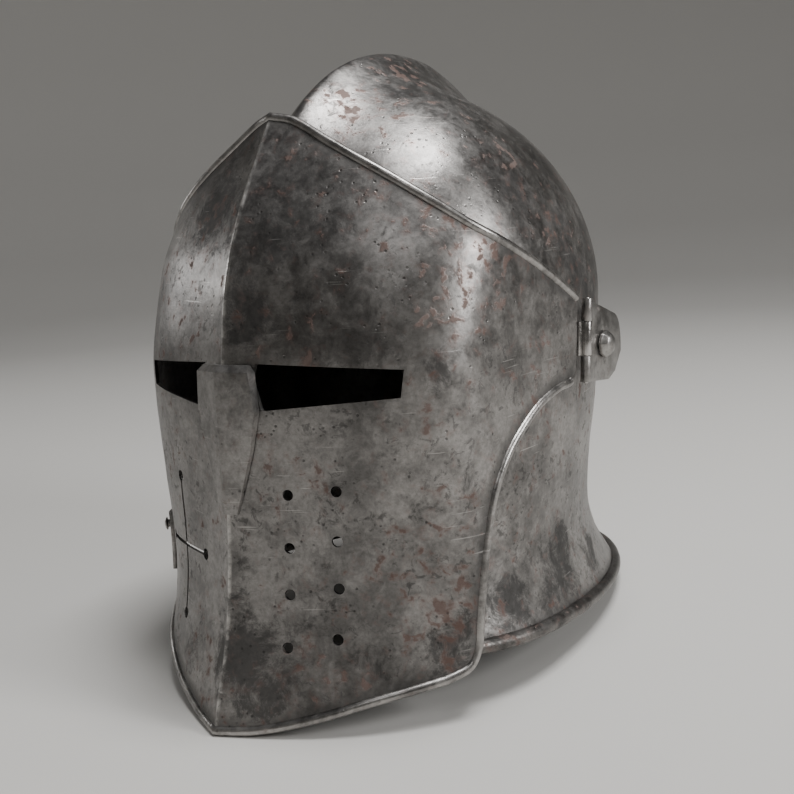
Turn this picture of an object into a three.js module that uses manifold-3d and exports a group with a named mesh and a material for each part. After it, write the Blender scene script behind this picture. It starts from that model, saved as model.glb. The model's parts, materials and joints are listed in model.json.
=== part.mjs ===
// A steel sallet of the barbute type with a lifting visor, in millimetres, +Z up.
// The face looks along -Y and the wearer's left is +X. The helmet is drawn with its sights level and is
// then tilted back to stand on its chin and nape, with the middle of its footprint at the origin.

import * as THREE from 'three';
import * as BufferGeometryUtils from 'three/addons/utils/BufferGeometryUtils.js';
import Module from 'manifold-3d';

const wasm = await Module();
wasm.setup();

// ---- driving dimensions -------------------------------------------------------------------------

// Drawing frame: Y = 0 at the brow crease beside the sights, Z = 0 at the top edge of the sights.
const RAD = Math.PI / 180;
const SKULL_WALL = 1.8;
const VISOR_WALL = 1.6;
const GAP = 0.3;

// The line that the visor turns on, parallel to X.
const PIVOT_Y = 151.5;
const PIVOT_Z = 6;

// Skull: half width and rearmost point at each height of the sides and neck, and the dome above them.
const SKULL_MID_Y = 130;
const SKULL_FRONT_Y = 27;
const SKULL_RIM_Z = -125.6;
const RIM_SLOPE = 0.018;
const RIM_LEVEL_Y = 110;
const RIM_SLOPE_TOP_Z = -60;
const DOME_BASE_Z = 30;
const DOME_RISE = 107;
const SKULL_HALF_WIDTH = [[-125.6, 102], [-112, 97], [-95, 93.5], [-80, 92.5], [-50, 95], [-20, 97.6],
  [30, 97.8]];
const SKULL_BACK_Y = [[-125.6, 303], [-114, 290.5], [-100, 276], [-80, 263], [-50, 256], [-20, 259],
  [10, 262], [30, 262]];
const BELOW_RIM = 8;
const SKULL_FRONT_POWER = 2.6;
const SKULL_BACK_POWER = 2.0;
const SKULL_SIDE_LEVELS = 10;
const SKULL_DOME_LEVELS = 11;
const SKULL_SECTORS = 44;
const SECTOR_CROWDING = 1.25;

// Medial comb: its height at each angle round the pivot line, from the nape (0) to the brow (180).
const COMB_HEIGHT = [[0, 0], [20, 4], [45, 12.5], [70, 18.6], [88, 21.1], [98, 19.4], [110, 16.8],
  [124, 14.8], [136, 13], [152, 6.6], [172, 0]];
const COMB_HALF_WIDTH = 17;
const COMB_POWER = 1.5;

// Face opening of the skull: an arch cut through the front.
const FACE_HALF_WIDTH = 78;
const FACE_TOP_Z = 38;
const FACE_CORNER = 46;
const FACE_BACK_Y = 84;
const FACE_ARCH_STEP = 15;
const CUTTER_FRONT_Y = -40;

// Rolled edges.
const SKULL_ROLL_RADIUS = 3.4;
const VISOR_ROLL_RADIUS = 2.2;
const ROLL_SIDES = 8;
const TOP_ROLL_STEPS = 36;
const LOWER_ROLL_STEPS = 68;
const SKULL_ROLL_STEPS = 40;
const TOP_PATH_STEPS = 26;
const REAR_PATH_STEPS = 40;
const BOTTOM_PATH_STEPS = 14;
const ROLL_END_ANGLE = 94;
const ROLL_START_Z = -10.8;

// Visor: a bowed plate round an upright axis, given by the radius of its outer face at each height.
const VISOR_AXIS_Y = 120;
const FRONT_RADIUS = [[-165, 104], [-145, 104.5], [-125, 106.5], [-104, 110], [-77, 115], [-60, 117.6],
  [-5, 122.6], [20, 120.8], [45, 116.6], [58, 112.4], [80, 104], [96, 97], [110, 90]];
const CREASE_LIFT = [[-165, 29], [-145, 24.5], [-125, 18.3], [-104, 12.6], [-77, 6.8], [-50, 3.8], [-20, 2.6],
  [0, 1.6], [31, 2.8], [48, 2.3], [62, 2.5], [80, 1.9], [96, 1.2], [110, 1.5]];
const CREASE_SPREAD = [[-165, 86], [-125, 70], [-100, 56], [-60, 38], [-40, 36], [110, 36]];
const CREASE_POWER = [[-165, 0.85], [-60, 1.5], [110, 1.5]];
const CREASE_DIP = 4.2;
const DIP_PEAK = 6.75;
const CREASE_DIP_SPREAD = 45;
const SWELL = [[-165, 6], [-104, 6], [-77, 2.6], [-60, 0], [110, 0]];
const SWELL_START = 36;
const SWELL_SPREAD = 20;
const SIDE_HALF_WIDTH = 104.2;
const SIDE_Y = 136;
const SIDE_TAPER = 0.1;
const CORNER_POWER = 30;
const LEAST_SLANT = 0.2;
const NORMAL_STEP = 0.5;
const VISOR_COLUMNS = 13;
const VISOR_ROWS = 17;

// Outline of the visor on its own face: angle from the crease in degrees, height in mm.
const TOP_EDGE = [[0, 108], [7, 105.5], [17, 96.5], [33, 80.5], [45, 67], [54, 57], [65, 49], [76, 42],
  [89, 32.5], [94.4, 28]];
const REAR_EDGE = [[94.4, 28], [94.4, 14], [94.4, 0], [94.2, -7], [91.5, -11.4], [86, -13.6], [77, -20],
  [70, -29], [64, -40], [59.5, -55], [57, -75], [56, -95],
  [55.5, -111], [55, -124], [52.8, -131.4], [47.5, -135.6]];
const BOTTOM_EDGE = [[0, -159.8], [8, -157.8], [20, -151], [31, -143.6], [40, -139], [47.5, -135.6]];

// Sights: corners of the wearer's left one, across and up.
const SIGHT = [[15, -0.5], [13.4, -7], [17.3, -20.5], [73.6, -13.6], [75, -2]];
const SIGHT_BACK_Y = 60;

// Breaths, on the wearer's left.
const BREATH_DIAMETER = 4.8;
const BREATHS = [[13.2, -56.3], [13.2, -79.5], [13.2, -99.9], [13, -122.8], [24, -53.7], [24, -75.4],
  [24.2, -96], [24, -118]];

// Pierced cross, on the wearer's right.
const CROSS_ANGLE = -24.2;
const CROSS_Z = -89.3;
const CROSS_UP = 33.4;
const CROSS_ACROSS = 23.6;
const CROSS_SLOT = 1.8;
const CROSS_END_DIAMETER = 5.4;
const CUTTER_SIDES = 16;
const CUTTER_DEPTH = 24;

// Nasal bridge: half width, front of its edge and front of its ridge at each height.
const NASAL_LEVELS = [[-1, 13, -2.4, -7], [-4, 15, -4.6, -9.4], [-21, 16.6, -2.6, -8], [-38, 13, -1.2, -6],
  [-66, 5, -1.4, -3.4]];
const NASAL_BACK_Y = 10;
const NASAL_BACKING = 20;

// Temple hinges, on the wearer's left.
const BARREL_X = 105.2;
const BARREL_Y = 134.6;
const BARREL_RADIUS = 2.6;
const PIN_RADIUS = 1.1;
const PIN_SIDES = 14;
const ROD_SIDES = 20;
const PIN_HOLE_RADIUS = 1.4;
const KNUCKLE_ENDS = [28, 17.2, 0.4, -12];
const KNUCKLE_GAP = 0.4;
const PIN_END = 0.8;
const ARM_INNER_X = 104.2;
const ARM_THICKNESS = 2.4;
const ARM_REAR = [[134.6, -12], [159.5, -12], [167.5, -8], [174.6, 2.2]];
const ARM_SHOULDER = [[174, 20.5], [163, 21.6]];
const ARM_TOP = [[149, 24.4], [134.6, 27]];
const ARM_HOLE_RADIUS = 3.4;
const LEAF_INNER_X = 102.6;
const LEAF_OUTER_X = 104.2;

// Pivot bolts. The head's profile is given in shares of its radius and rise.
const BOLT_HEAD_RADIUS = 6.8;
const BOLT_HEAD_RISE = 5.4;
const BOLT_SHANK_RADIUS = 3;
const BOLT_SIDES = 8;
const BOLT_PROFILE = [[0, 0], [1, 0], [1, 0.3], [0.72, 0.78], [0.3, 1], [0, 1]];
const BOLT_NUT_RADIUS = 6;
const BOLT_NUT_THICKNESS = 2.4;
const BOLT_NUT_INNER_X = 90.6;
const BOLT_HOLE_FROM_X = 80;
const BOLT_HOLE_TO_X = 110;

// Catch on the wearer's right, at the visor's rear edge.
// The stud's profile is given in shares of its radius and rise.
const CATCH_ANGLE = 51.5;
const CATCH_TOP_Z = -83;
const CATCH_BOTTOM_Z = -114;
const CATCH_WIDTH = 9;
const CATCH_THICKNESS = 2.2;
const STUD_RADIUS = 3.6;
const STUD_RISE = 2.8;
const STUD_Z = -90;
const STUD_SIDES = 12;
const STUD_PROFILE = [[0, 0], [0.55, 0], [0.55, 0.36], [1, 0.57], [0.9, 0.7], [0.5, 0.95], [0, 1]];
const CATCH_STEPS = 4;

// Resting place: the helmet leans back until its chin and its nape stand on one level.
const REST_CUT = 0.35;
const FLOOR_SLAB = [400, 800, 20];

// ---- small helpers ------------------------------------------------------------------------------

// A smooth curve through [position, value] pairs.
function through(pairs) {
  const slope = pairs.map((pair, i) => {
    const before = pairs[Math.max(i - 1, 0)];
    const after = pairs[Math.min(i + 1, pairs.length - 1)];
    return (after[1] - before[1]) / (after[0] - before[0]);
  });
  return (at) => {
    let i = 0;
    while (i < pairs.length - 2 && at > pairs[i + 1][0]) i += 1;
    const span = pairs[i + 1][0] - pairs[i][0];
    const t = Math.min(Math.max((at - pairs[i][0]) / span, 0), 1);
    const t2 = t * t;
    const t3 = t2 * t;
    return (2 * t3 - 3 * t2 + 1) * pairs[i][1] + (t3 - 2 * t2 + t) * span * slope[i]
      + (3 * t2 - 2 * t3) * pairs[i + 1][1] + (t3 - t2) * span * slope[i + 1];
  };
}

function toSolid(geometry) {
  const bare = geometry.clone();
  bare.deleteAttribute('normal');
  bare.deleteAttribute('uv');
  const merged = BufferGeometryUtils.mergeVertices(bare, 1e-4);
  return new wasm.Manifold(new wasm.Mesh({
    numProp: 3,
    vertProperties: new Float32Array(merged.attributes.position.array),
    triVerts: new Uint32Array(merged.index.array),
  }));
}

function toGeometry(solid) {
  const mesh = solid.getMesh();
  const geometry = new THREE.BufferGeometry();
  geometry.setAttribute('position', new THREE.BufferAttribute(new Float32Array(mesh.vertProperties), 3));
  geometry.setIndex(new THREE.BufferAttribute(new Uint32Array(mesh.triVerts), 1));
  return geometry;
}

function meshFromTriangles(points, triangles) {
  const geometry = new THREE.BufferGeometry();
  const numbers = points.flatMap((p) => [p.x, p.y, p.z]);
  geometry.setAttribute('position', new THREE.Float32BufferAttribute(numbers, 3));
  geometry.setIndex(triangles);
  return geometry;
}

// A closed wall between an outer and an inner grid of points of the same size.
function wallBetween(outer, inner) {
  const rows = outer.length;
  const columns = outer[0].length;
  const front = (r, c) => r * columns + c;
  const back = (r, c) => rows * columns + r * columns + c;
  const triangles = [];
  const quad = (a, b, c, d) => triangles.push(a, b, c, a, c, d);
  for (let r = 0; r < rows - 1; r += 1) {
    for (let c = 0; c < columns - 1; c += 1) {
      quad(front(r, c), front(r + 1, c), front(r + 1, c + 1), front(r, c + 1));
      quad(back(r, c), back(r, c + 1), back(r + 1, c + 1), back(r + 1, c));
    }
    quad(front(r + 1, 0), front(r, 0), back(r, 0), back(r + 1, 0));
    quad(front(r, columns - 1), front(r + 1, columns - 1), back(r + 1, columns - 1), back(r, columns - 1));
  }
  for (let c = 0; c < columns - 1; c += 1) {
    quad(front(0, c), front(0, c + 1), back(0, c + 1), back(0, c));
    quad(front(rows - 1, c + 1), front(rows - 1, c), back(rows - 1, c), back(rows - 1, c + 1));
  }
  return meshFromTriangles([...outer.flat(), ...inner.flat()], triangles);
}

// A closed body through level rings of equal size, from a flat floor up to a top point.
function bodyThroughRings(rings, floorPoint, topPoint) {
  const size = rings[0].length;
  const points = [...rings.flat(), floorPoint, topPoint];
  const floor = rings.length * size;
  const last = floor - size;
  const triangles = [];
  for (let k = 0; k < size; k += 1) {
    const next = (k + 1) % size;
    for (let r = 0; r < last; r += size) {
      triangles.push(r + k, r + next, r + next + size, r + k, r + next + size, r + k + size);
    }
    triangles.push(floor, next, k);
    triangles.push(floor + 1, last + k, last + next);
  }
  return meshFromTriangles(points, triangles);
}

// A round bar along an open curve through the points.
function roll(points, radius, steps) {
  const section = new THREE.Shape();
  for (let k = 0; k < ROLL_SIDES; k += 1) {
    const turn = (k + 0.5) * 2 * Math.PI / ROLL_SIDES;
    const corner = [radius * Math.cos(turn), radius * Math.sin(turn)];
    if (k === 0) section.moveTo(...corner);
    else section.lineTo(...corner);
  }
  const path = new THREE.CatmullRomCurve3(points, false, 'centripetal');
  return new THREE.ExtrudeGeometry(section, { steps, extrudePath: path, bevelEnabled: false });
}

// A prism with its outline across (x) and up (z), reaching from one depth to another along Y.
function prismAlongY(corners, fromY, toY) {
  const shape = new THREE.Shape(corners.map(([x, z]) => new THREE.Vector2(x, z)));
  const geometry = new THREE.ExtrudeGeometry(shape, { depth: toY - fromY, bevelEnabled: false });
  geometry.rotateX(Math.PI / 2);
  geometry.translate(0, toY, 0);
  return geometry;
}

function mirrored(geometry) {
  const copy = geometry.index ? geometry.toNonIndexed() : geometry.clone();
  copy.scale(-1, 1, 1);
  const place = copy.attributes.position;
  for (let i = 0; i < place.count; i += 3) {
    const [x, y, z] = [place.getX(i), place.getY(i), place.getZ(i)];
    place.setXYZ(i, place.getX(i + 1), place.getY(i + 1), place.getZ(i + 1));
    place.setXYZ(i + 1, x, y, z);
  }
  return copy;
}

// ---- skull --------------------------------------------------------------------------------------

const skullHalfWidth = through(SKULL_HALF_WIDTH);
const skullBack = through(SKULL_BACK_Y);
const combHeight = through(COMB_HEIGHT);

// The comb lifts a point away from the pivot line, most at the middle plane.
function withComb(point) {
  const dy = point.y - PIVOT_Y;
  const dz = point.z - PIVOT_Z;
  const angle = Math.atan2(dz, dy) / RAD;
  if (angle <= 0) return point;
  const fade = Math.exp(-((Math.abs(point.x) / COMB_HALF_WIDTH) ** COMB_POWER));
  const lift = combHeight(angle) * fade / Math.hypot(dy, dz);
  point.y += lift * dy;
  point.z += lift * dz;
  return point;
}

// The neck's levels slope up a little towards the nape, most at the rim.
function sloped(y, z) {
  const share = Math.min(Math.max((RIM_SLOPE_TOP_Z - z) / (RIM_SLOPE_TOP_Z - SKULL_RIM_Z), 0), 1);
  return z + share * RIM_SLOPE * (y - RIM_LEVEL_Y);
}

// One ring of the skull. Its points crowd towards the comb.
function skullRing(z, halfWidth, frontY, backY) {
  const ring = [];
  for (let k = 0; k < SKULL_SECTORS; k += 1) {
    const quarters = k / SKULL_SECTORS * 4;
    const whole = Math.floor(quarters);
    const part = quarters - whole;
    const crowded = whole % 2 === 0 ? 1 - (1 - part) ** SECTOR_CROWDING : part ** SECTOR_CROWDING;
    const turn = (whole + crowded) * Math.PI / 2;
    const across = Math.cos(turn);
    const along = Math.sin(turn);
    const power = along < 0 ? SKULL_FRONT_POWER : SKULL_BACK_POWER;
    const depth = along < 0 ? SKULL_MID_Y - frontY : backY - SKULL_MID_Y;
    const x = Math.sign(across) * halfWidth * Math.abs(across) ** (2 / power);
    const y = SKULL_MID_Y + Math.sign(along) * depth * Math.abs(along) ** (2 / power);
    ring.push(withComb(new THREE.Vector3(x, y, sloped(y, z))));
  }
  return ring;
}

// The skull as a filled body, drawn in by the wall's thickness for its inner face.
function skullBody(inset, floorZ) {
  const rings = [];
  for (let i = 0; i < SKULL_SIDE_LEVELS; i += 1) {
    const z = SKULL_RIM_Z + (DOME_BASE_Z - SKULL_RIM_Z) * i / SKULL_SIDE_LEVELS;
    const ringZ = i === 0 ? floorZ : z;
    rings.push(skullRing(ringZ, skullHalfWidth(z) - inset, SKULL_FRONT_Y + inset, skullBack(z) - inset));
  }
  const halfWidth = skullHalfWidth(DOME_BASE_Z) - inset;
  const frontDepth = SKULL_MID_Y - SKULL_FRONT_Y - inset;
  const backDepth = skullBack(DOME_BASE_Z) - inset - SKULL_MID_Y;
  for (let i = 0; i < SKULL_DOME_LEVELS; i += 1) {
    const rise = i / SKULL_DOME_LEVELS * Math.PI / 2;
    const shrink = Math.cos(rise);
    const z = DOME_BASE_Z + (DOME_RISE - inset) * Math.sin(rise);
    const frontY = SKULL_MID_Y - frontDepth * shrink;
    rings.push(skullRing(z, halfWidth * shrink, frontY, SKULL_MID_Y + backDepth * shrink));
  }
  const top = withComb(new THREE.Vector3(0, SKULL_MID_Y, DOME_BASE_Z + DOME_RISE - inset));
  return bodyThroughRings(rings, new THREE.Vector3(0, SKULL_MID_Y, sloped(SKULL_MID_Y, floorZ)), top);
}

// The arch of the face opening, as a cutter.
function faceCutter() {
  const below = SKULL_RIM_Z - 2 * BELOW_RIM;
  const corners = [[-FACE_HALF_WIDTH, below], [FACE_HALF_WIDTH, below]];
  for (let turn = 0; turn <= 180; turn += FACE_ARCH_STEP) {
    const side = turn < 90 ? 1 : -1;
    const middle = turn === 90 ? 0 : side * (FACE_HALF_WIDTH - FACE_CORNER);
    corners.push([middle + FACE_CORNER * Math.cos(turn * RAD) * (turn === 90 ? 0 : 1),
      FACE_TOP_Z - FACE_CORNER + FACE_CORNER * Math.sin(turn * RAD)]);
  }
  return prismAlongY(corners, CUTTER_FRONT_Y, FACE_BACK_Y);
}

// The rolled edge runs round the neck from one side of the face opening to the other.
function skullRollPath() {
  const ring = skullRing(SKULL_RIM_Z, skullHalfWidth(SKULL_RIM_Z), SKULL_FRONT_Y, skullBack(SKULL_RIM_Z));
  const start = SKULL_SECTORS * 3 / 4;
  const around = ring.map((_, k) => ring[(start + k) % SKULL_SECTORS]);
  return around.filter((p) => Math.abs(p.x) > FACE_HALF_WIDTH || p.y > FACE_BACK_Y);
}

function makeSkull() {
  const outer = toSolid(skullBody(0, SKULL_RIM_Z));
  const inner = toSolid(skullBody(SKULL_WALL, SKULL_RIM_Z - BELOW_RIM));
  const rolled = toSolid(roll(skullRollPath(), SKULL_ROLL_RADIUS, SKULL_ROLL_STEPS));
  let skull = outer.subtract(inner).subtract(toSolid(faceCutter())).add(rolled);
  for (const side of [1, -1]) {
    const hole = rodAlongX(BOLT_SHANK_RADIUS + GAP, side * BOLT_HOLE_FROM_X, side * BOLT_HOLE_TO_X);
    skull = skull.subtract(toSolid(hole));
  }
  return onTheFloor(skull);
}

// ---- visor --------------------------------------------------------------------------------------

const frontRadius = through(FRONT_RADIUS);
const creaseLift = through(CREASE_LIFT);
const creaseSpread = through(CREASE_SPREAD);
const creasePower = through(CREASE_POWER);
const cheekSwell = through(SWELL);
const topEdge = through(TOP_EDGE);
const bottomEdge = through(BOTTOM_EDGE);
const rearEdgePoints = REAR_EDGE.map(([angle, z]) => new THREE.Vector3(angle, z, 0));
const rearEdge = new THREE.CatmullRomCurve3(rearEdgePoints, false, 'centripetal');

// Radius of the visor's outer face from its upright axis, at an angle from the crease and a height.
function visorRadius(angle, z) {
  const turn = Math.abs(angle);
  const lift = creaseLift(z) * Math.max(0, 1 - turn / creaseSpread(z)) ** creasePower(z);
  const s = Math.min(turn / CREASE_DIP_SPREAD, 1);
  const dip = CREASE_DIP * DIP_PEAK * s * (1 - s) ** 2;
  const swell = cheekSwell(z) * (Math.max(0, turn - SWELL_START) / SWELL_SPREAD) ** 2;
  const front = frontRadius(z) + lift - dip + swell;
  const slant = Math.max(Math.sin(turn * RAD) + SIDE_TAPER * Math.cos(turn * RAD), LEAST_SLANT);
  const side = (SIDE_HALF_WIDTH - (SIDE_Y - VISOR_AXIS_Y) * SIDE_TAPER) / slant;
  return (front ** -CORNER_POWER + side ** -CORNER_POWER) ** (-1 / CORNER_POWER);
}

function visorPoint(angle, z) {
  const radius = visorRadius(angle, z);
  return new THREE.Vector3(radius * Math.sin(angle * RAD), VISOR_AXIS_Y - radius * Math.cos(angle * RAD), z);
}

function visorNormal(angle, z) {
  const across = visorPoint(angle + NORMAL_STEP, z).sub(visorPoint(angle - NORMAL_STEP, z));
  const up = visorPoint(angle, z + NORMAL_STEP).sub(visorPoint(angle, z - NORMAL_STEP));
  return across.cross(up).normalize();
}

function visorOffsetPoint(angle, z, offset) {
  return visorPoint(angle, z).addScaledVector(visorNormal(angle, z), offset);
}

// A place in the outline: u runs from the crease to the rear edge, v from the top edge to the bottom.
function visorSpot(u, v) {
  const rear = rearEdge.getPoint(v);
  const [rearTop, rearBottom] = [REAR_EDGE[0], REAR_EDGE[REAR_EDGE.length - 1]];
  const [apexZ, chinZ] = [TOP_EDGE[0][1], BOTTOM_EDGE[0][1]];
  const aboveChord = topEdge(u * rearTop[0]) - ((1 - u) * apexZ + u * rearTop[1]);
  const belowChord = bottomEdge(u * rearBottom[0]) - ((1 - u) * chinZ + u * rearBottom[1]);
  const straight = (1 - u) * (apexZ + (chinZ - apexZ) * v) + u * rear.y;
  return [u * rear.x, straight + (1 - v) * aboveChord + v * belowChord];
}

function visorGrid(offset) {
  const grid = [];
  for (let r = 0; r <= VISOR_ROWS; r += 1) {
    const row = [];
    for (let c = -VISOR_COLUMNS; c <= VISOR_COLUMNS; c += 1) {
      const [angle, z] = visorSpot(Math.abs(c) / VISOR_COLUMNS, r / VISOR_ROWS);
      row.push(visorOffsetPoint(Math.sign(c) * angle, z, offset));
    }
    grid.push(row);
  }
  return grid;
}

// The rolled edges follow the middle of the plate: one along the top, one round the rear and bottom.
function topRollPath() {
  const path = [];
  for (let i = -TOP_PATH_STEPS; i <= TOP_PATH_STEPS; i += 1) {
    const angle = ROLL_END_ANGLE * i / TOP_PATH_STEPS;
    path.push(visorOffsetPoint(angle, topEdge(Math.abs(angle)), -VISOR_WALL / 2));
  }
  return path;
}

function lowerRollPath() {
  const half = [];
  for (let i = 0; i <= REAR_PATH_STEPS; i += 1) {
    const spot = rearEdge.getPoint(i / REAR_PATH_STEPS);
    if (spot.x <= ROLL_END_ANGLE && spot.y < ROLL_START_Z) half.push([spot.x, spot.y]);
  }
  const corner = REAR_EDGE[REAR_EDGE.length - 1][0];
  for (let i = 1; i <= BOTTOM_PATH_STEPS; i += 1) {
    const angle = corner * (1 - i / BOTTOM_PATH_STEPS);
    half.push([angle, bottomEdge(angle)]);
  }
  const right = half.map(([angle, z]) => visorOffsetPoint(angle, z, -VISOR_WALL / 2));
  const left = right.slice(0, -1).reverse().map((p) => new THREE.Vector3(-p.x, p.y, p.z));
  return [...right, ...left];
}

// A cutter that goes straight through the plate at a place on it.
function cutterThroughPlate(outline, angle, z) {
  const geometry = new THREE.ExtrudeGeometry(outline, { depth: CUTTER_DEPTH, bevelEnabled: false });
  geometry.translate(0, 0, -CUTTER_DEPTH / 2);
  geometry.rotateX(Math.PI / 2);
  geometry.rotateZ(angle * RAD);
  const place = visorPoint(angle, z);
  geometry.translate(place.x, place.y, place.z);
  return toSolid(geometry);
}

function disc(radius, x, z) {
  const shape = new THREE.Shape();
  shape.absarc(x, z, radius, 0, 2 * Math.PI, false);
  return new THREE.Shape(shape.getPoints(CUTTER_SIDES / 2));
}

function slot(width, height) {
  const [x, z] = [width / 2, height / 2];
  return new THREE.Shape([[-x, -z], [x, -z], [x, z], [-x, z]].map(([a, b]) => new THREE.Vector2(a, b)));
}

function pierced(plate) {
  let visor = plate;
  for (const side of [1, -1]) {
    const corners = SIGHT.map(([x, z]) => [side * x, z]);
    if (side > 0) corners.reverse();
    visor = visor.subtract(toSolid(prismAlongY(corners, CUTTER_FRONT_Y, SIGHT_BACK_Y)));
  }
  for (const [angle, z] of BREATHS) {
    visor = visor.subtract(cutterThroughPlate(disc(BREATH_DIAMETER / 2, 0, 0), angle, z));
  }
  visor = visor.subtract(cutterThroughPlate(slot(CROSS_SLOT, 2 * CROSS_UP), CROSS_ANGLE, CROSS_Z));
  visor = visor.subtract(cutterThroughPlate(slot(2 * CROSS_ACROSS, CROSS_SLOT), CROSS_ANGLE, CROSS_Z));
  for (const [x, z] of [[0, CROSS_UP], [0, -CROSS_UP], [CROSS_ACROSS, 0], [-CROSS_ACROSS, 0]]) {
    visor = visor.subtract(cutterThroughPlate(disc(CROSS_END_DIAMETER / 2, x, z), CROSS_ANGLE, CROSS_Z));
  }
  return visor;
}

function makeVisor() {
  const plate = toSolid(wallBetween(visorGrid(0), visorGrid(-VISOR_WALL)));
  const topRoll = toSolid(roll(topRollPath(), VISOR_ROLL_RADIUS, TOP_ROLL_STEPS));
  const lowerRoll = toSolid(roll(lowerRollPath(), VISOR_ROLL_RADIUS, LOWER_ROLL_STEPS));
  return onTheFloor(pierced(plate).add(topRoll).add(lowerRoll));
}

// The faceted block between the sights, fitted to the face of the plate.
function makeNasalBridge() {
  const rings = NASAL_LEVELS.map(([z, half, edgeY, ridgeY]) => [
    new THREE.Vector3(0, ridgeY, z),
    new THREE.Vector3(half, edgeY, z),
    new THREE.Vector3(half, NASAL_BACK_Y, z),
    new THREE.Vector3(-half, NASAL_BACK_Y, z),
    new THREE.Vector3(-half, edgeY, z),
  ]).reverse();
  const middle = (ring) => ring.reduce((sum, p) => sum.add(p), new THREE.Vector3()).divideScalar(ring.length);
  const block = toSolid(bodyThroughRings(rings, middle(rings[0]), middle(rings[rings.length - 1])));
  const behind = toSolid(wallBetween(visorGrid(GAP), visorGrid(-NASAL_BACKING)));
  return standing(block.subtract(behind));
}

// ---- temple hinges ------------------------------------------------------------------------------

function rodAlongX(radius, fromX, toX, sides = ROD_SIDES) {
  const rod = new THREE.CylinderGeometry(radius, radius, Math.abs(toX - fromX), sides);
  rod.rotateZ(Math.PI / 2);
  rod.translate((fromX + toX) / 2, PIVOT_Y, PIVOT_Z);
  return rod;
}

function uprightRod(radius, fromZ, toZ) {
  const rod = new THREE.CylinderGeometry(radius, radius, toZ - fromZ, PIN_SIDES);
  rod.rotateX(Math.PI / 2);
  rod.translate(BARREL_X, BARREL_Y, (fromZ + toZ) / 2);
  return toSolid(rod);
}

function knuckle(lowZ, highZ) {
  const hole = uprightRod(PIN_HOLE_RADIUS, lowZ - 1, highZ + 1);
  return uprightRod(BARREL_RADIUS, lowZ, highZ).subtract(hole);
}

function box(fromX, toX, fromY, toY, fromZ, toZ) {
  const geometry = new THREE.BoxGeometry(toX - fromX, toY - fromY, toZ - fromZ);
  geometry.translate((fromX + toX) / 2, (fromY + toY) / 2, (fromZ + toZ) / 2);
  return toSolid(geometry);
}

// The leaf: a narrow strip brazed to the visor's edge, with the middle knuckle.
function makeLeaf() {
  const [, high, low] = KNUCKLE_ENDS;
  const edge = visorPoint(REAR_EDGE[0][0], 0).y;
  const bore = uprightRod(PIN_HOLE_RADIUS, low - 1, high + 1);
  const [from, to] = [low + KNUCKLE_GAP, high - KNUCKLE_GAP];
  const strip = box(LEAF_INNER_X, LEAF_OUTER_X, edge + 2 * GAP, BARREL_Y, from, to);
  return knuckle(from, to).add(strip.subtract(bore));
}

// The arm: a shaped plate with the top and bottom knuckles and the bolt's hole.
function makeArm() {
  const [top, upper, lower, bottom] = KNUCKLE_ENDS;
  const outline = new THREE.Shape();
  outline.moveTo(...ARM_REAR[0]);
  ARM_REAR.slice(1).forEach((corner) => outline.lineTo(...corner));
  outline.quadraticCurveTo(...ARM_SHOULDER.flat());
  ARM_TOP.forEach((corner) => outline.lineTo(...corner));
  const hole = new THREE.Path();
  hole.absarc(PIVOT_Y, PIVOT_Z, ARM_HOLE_RADIUS, 0, 2 * Math.PI, true);
  outline.holes.push(hole);
  const thickness = { depth: ARM_THICKNESS, bevelEnabled: false, curveSegments: 8 };
  const flat = new THREE.ExtrudeGeometry(outline, thickness);
  flat.applyMatrix4(new THREE.Matrix4().set(0, 0, 1, ARM_INNER_X, 1, 0, 0, 0, 0, 1, 0, 0, 0, 0, 0, 1));
  const reach = BARREL_RADIUS + KNUCKLE_GAP;
  const [fromX, toX] = [BARREL_X - 2 * reach, BARREL_X + 2 * reach];
  const notch = box(fromX, toX, BARREL_Y - reach, BARREL_Y + reach, lower, upper);
  const bore = uprightRod(PIN_HOLE_RADIUS, bottom - 1, top + 1);
  return toSolid(flat).subtract(notch).add(knuckle(upper, top)).add(knuckle(bottom, lower)).subtract(bore);
}

function makePin() {
  const top = KNUCKLE_ENDS[0] + PIN_END;
  const bottom = KNUCKLE_ENDS[KNUCKLE_ENDS.length - 1] - PIN_END;
  return uprightRod(PIN_RADIUS, bottom, top);
}

// The bolt: a faceted dome outside the arm, a shank through the skull and a flat nut inside it.
function makeBolt() {
  const face = ARM_INNER_X + ARM_THICKNESS + GAP;
  const profile = BOLT_PROFILE.map(([r, h]) => new THREE.Vector2(r * BOLT_HEAD_RADIUS, h * BOLT_HEAD_RISE));
  const head = new THREE.LatheGeometry(profile, BOLT_SIDES);
  head.rotateZ(-Math.PI / 2);
  head.translate(face, PIVOT_Y, PIVOT_Z);
  const shank = rodAlongX(BOLT_SHANK_RADIUS, BOLT_NUT_INNER_X + 1, face + 1);
  const nut = rodAlongX(BOLT_NUT_RADIUS, BOLT_NUT_INNER_X, BOLT_NUT_INNER_X + BOLT_NUT_THICKNESS, BOLT_SIDES);
  return toSolid(head).add(toSolid(shank)).add(toSolid(nut));
}

// ---- catch --------------------------------------------------------------------------------------

function makeCatchPlate() {
  const outer = [];
  const inner = [];
  const halfAngle = CATCH_WIDTH / 2 / visorRadius(CATCH_ANGLE, CATCH_TOP_Z) / RAD;
  for (let r = 0; r <= CATCH_STEPS; r += 1) {
    const z = CATCH_TOP_Z + (CATCH_BOTTOM_Z - CATCH_TOP_Z) * r / CATCH_STEPS;
    const angles = [-1, 0, 1].map((k) => -CATCH_ANGLE + k * halfAngle);
    outer.push(angles.map((angle) => visorOffsetPoint(angle, z, GAP + CATCH_THICKNESS)));
    inner.push(angles.map((angle) => visorOffsetPoint(angle, z, GAP)));
  }
  return toSolid(wallBetween(outer, inner));
}

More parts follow.
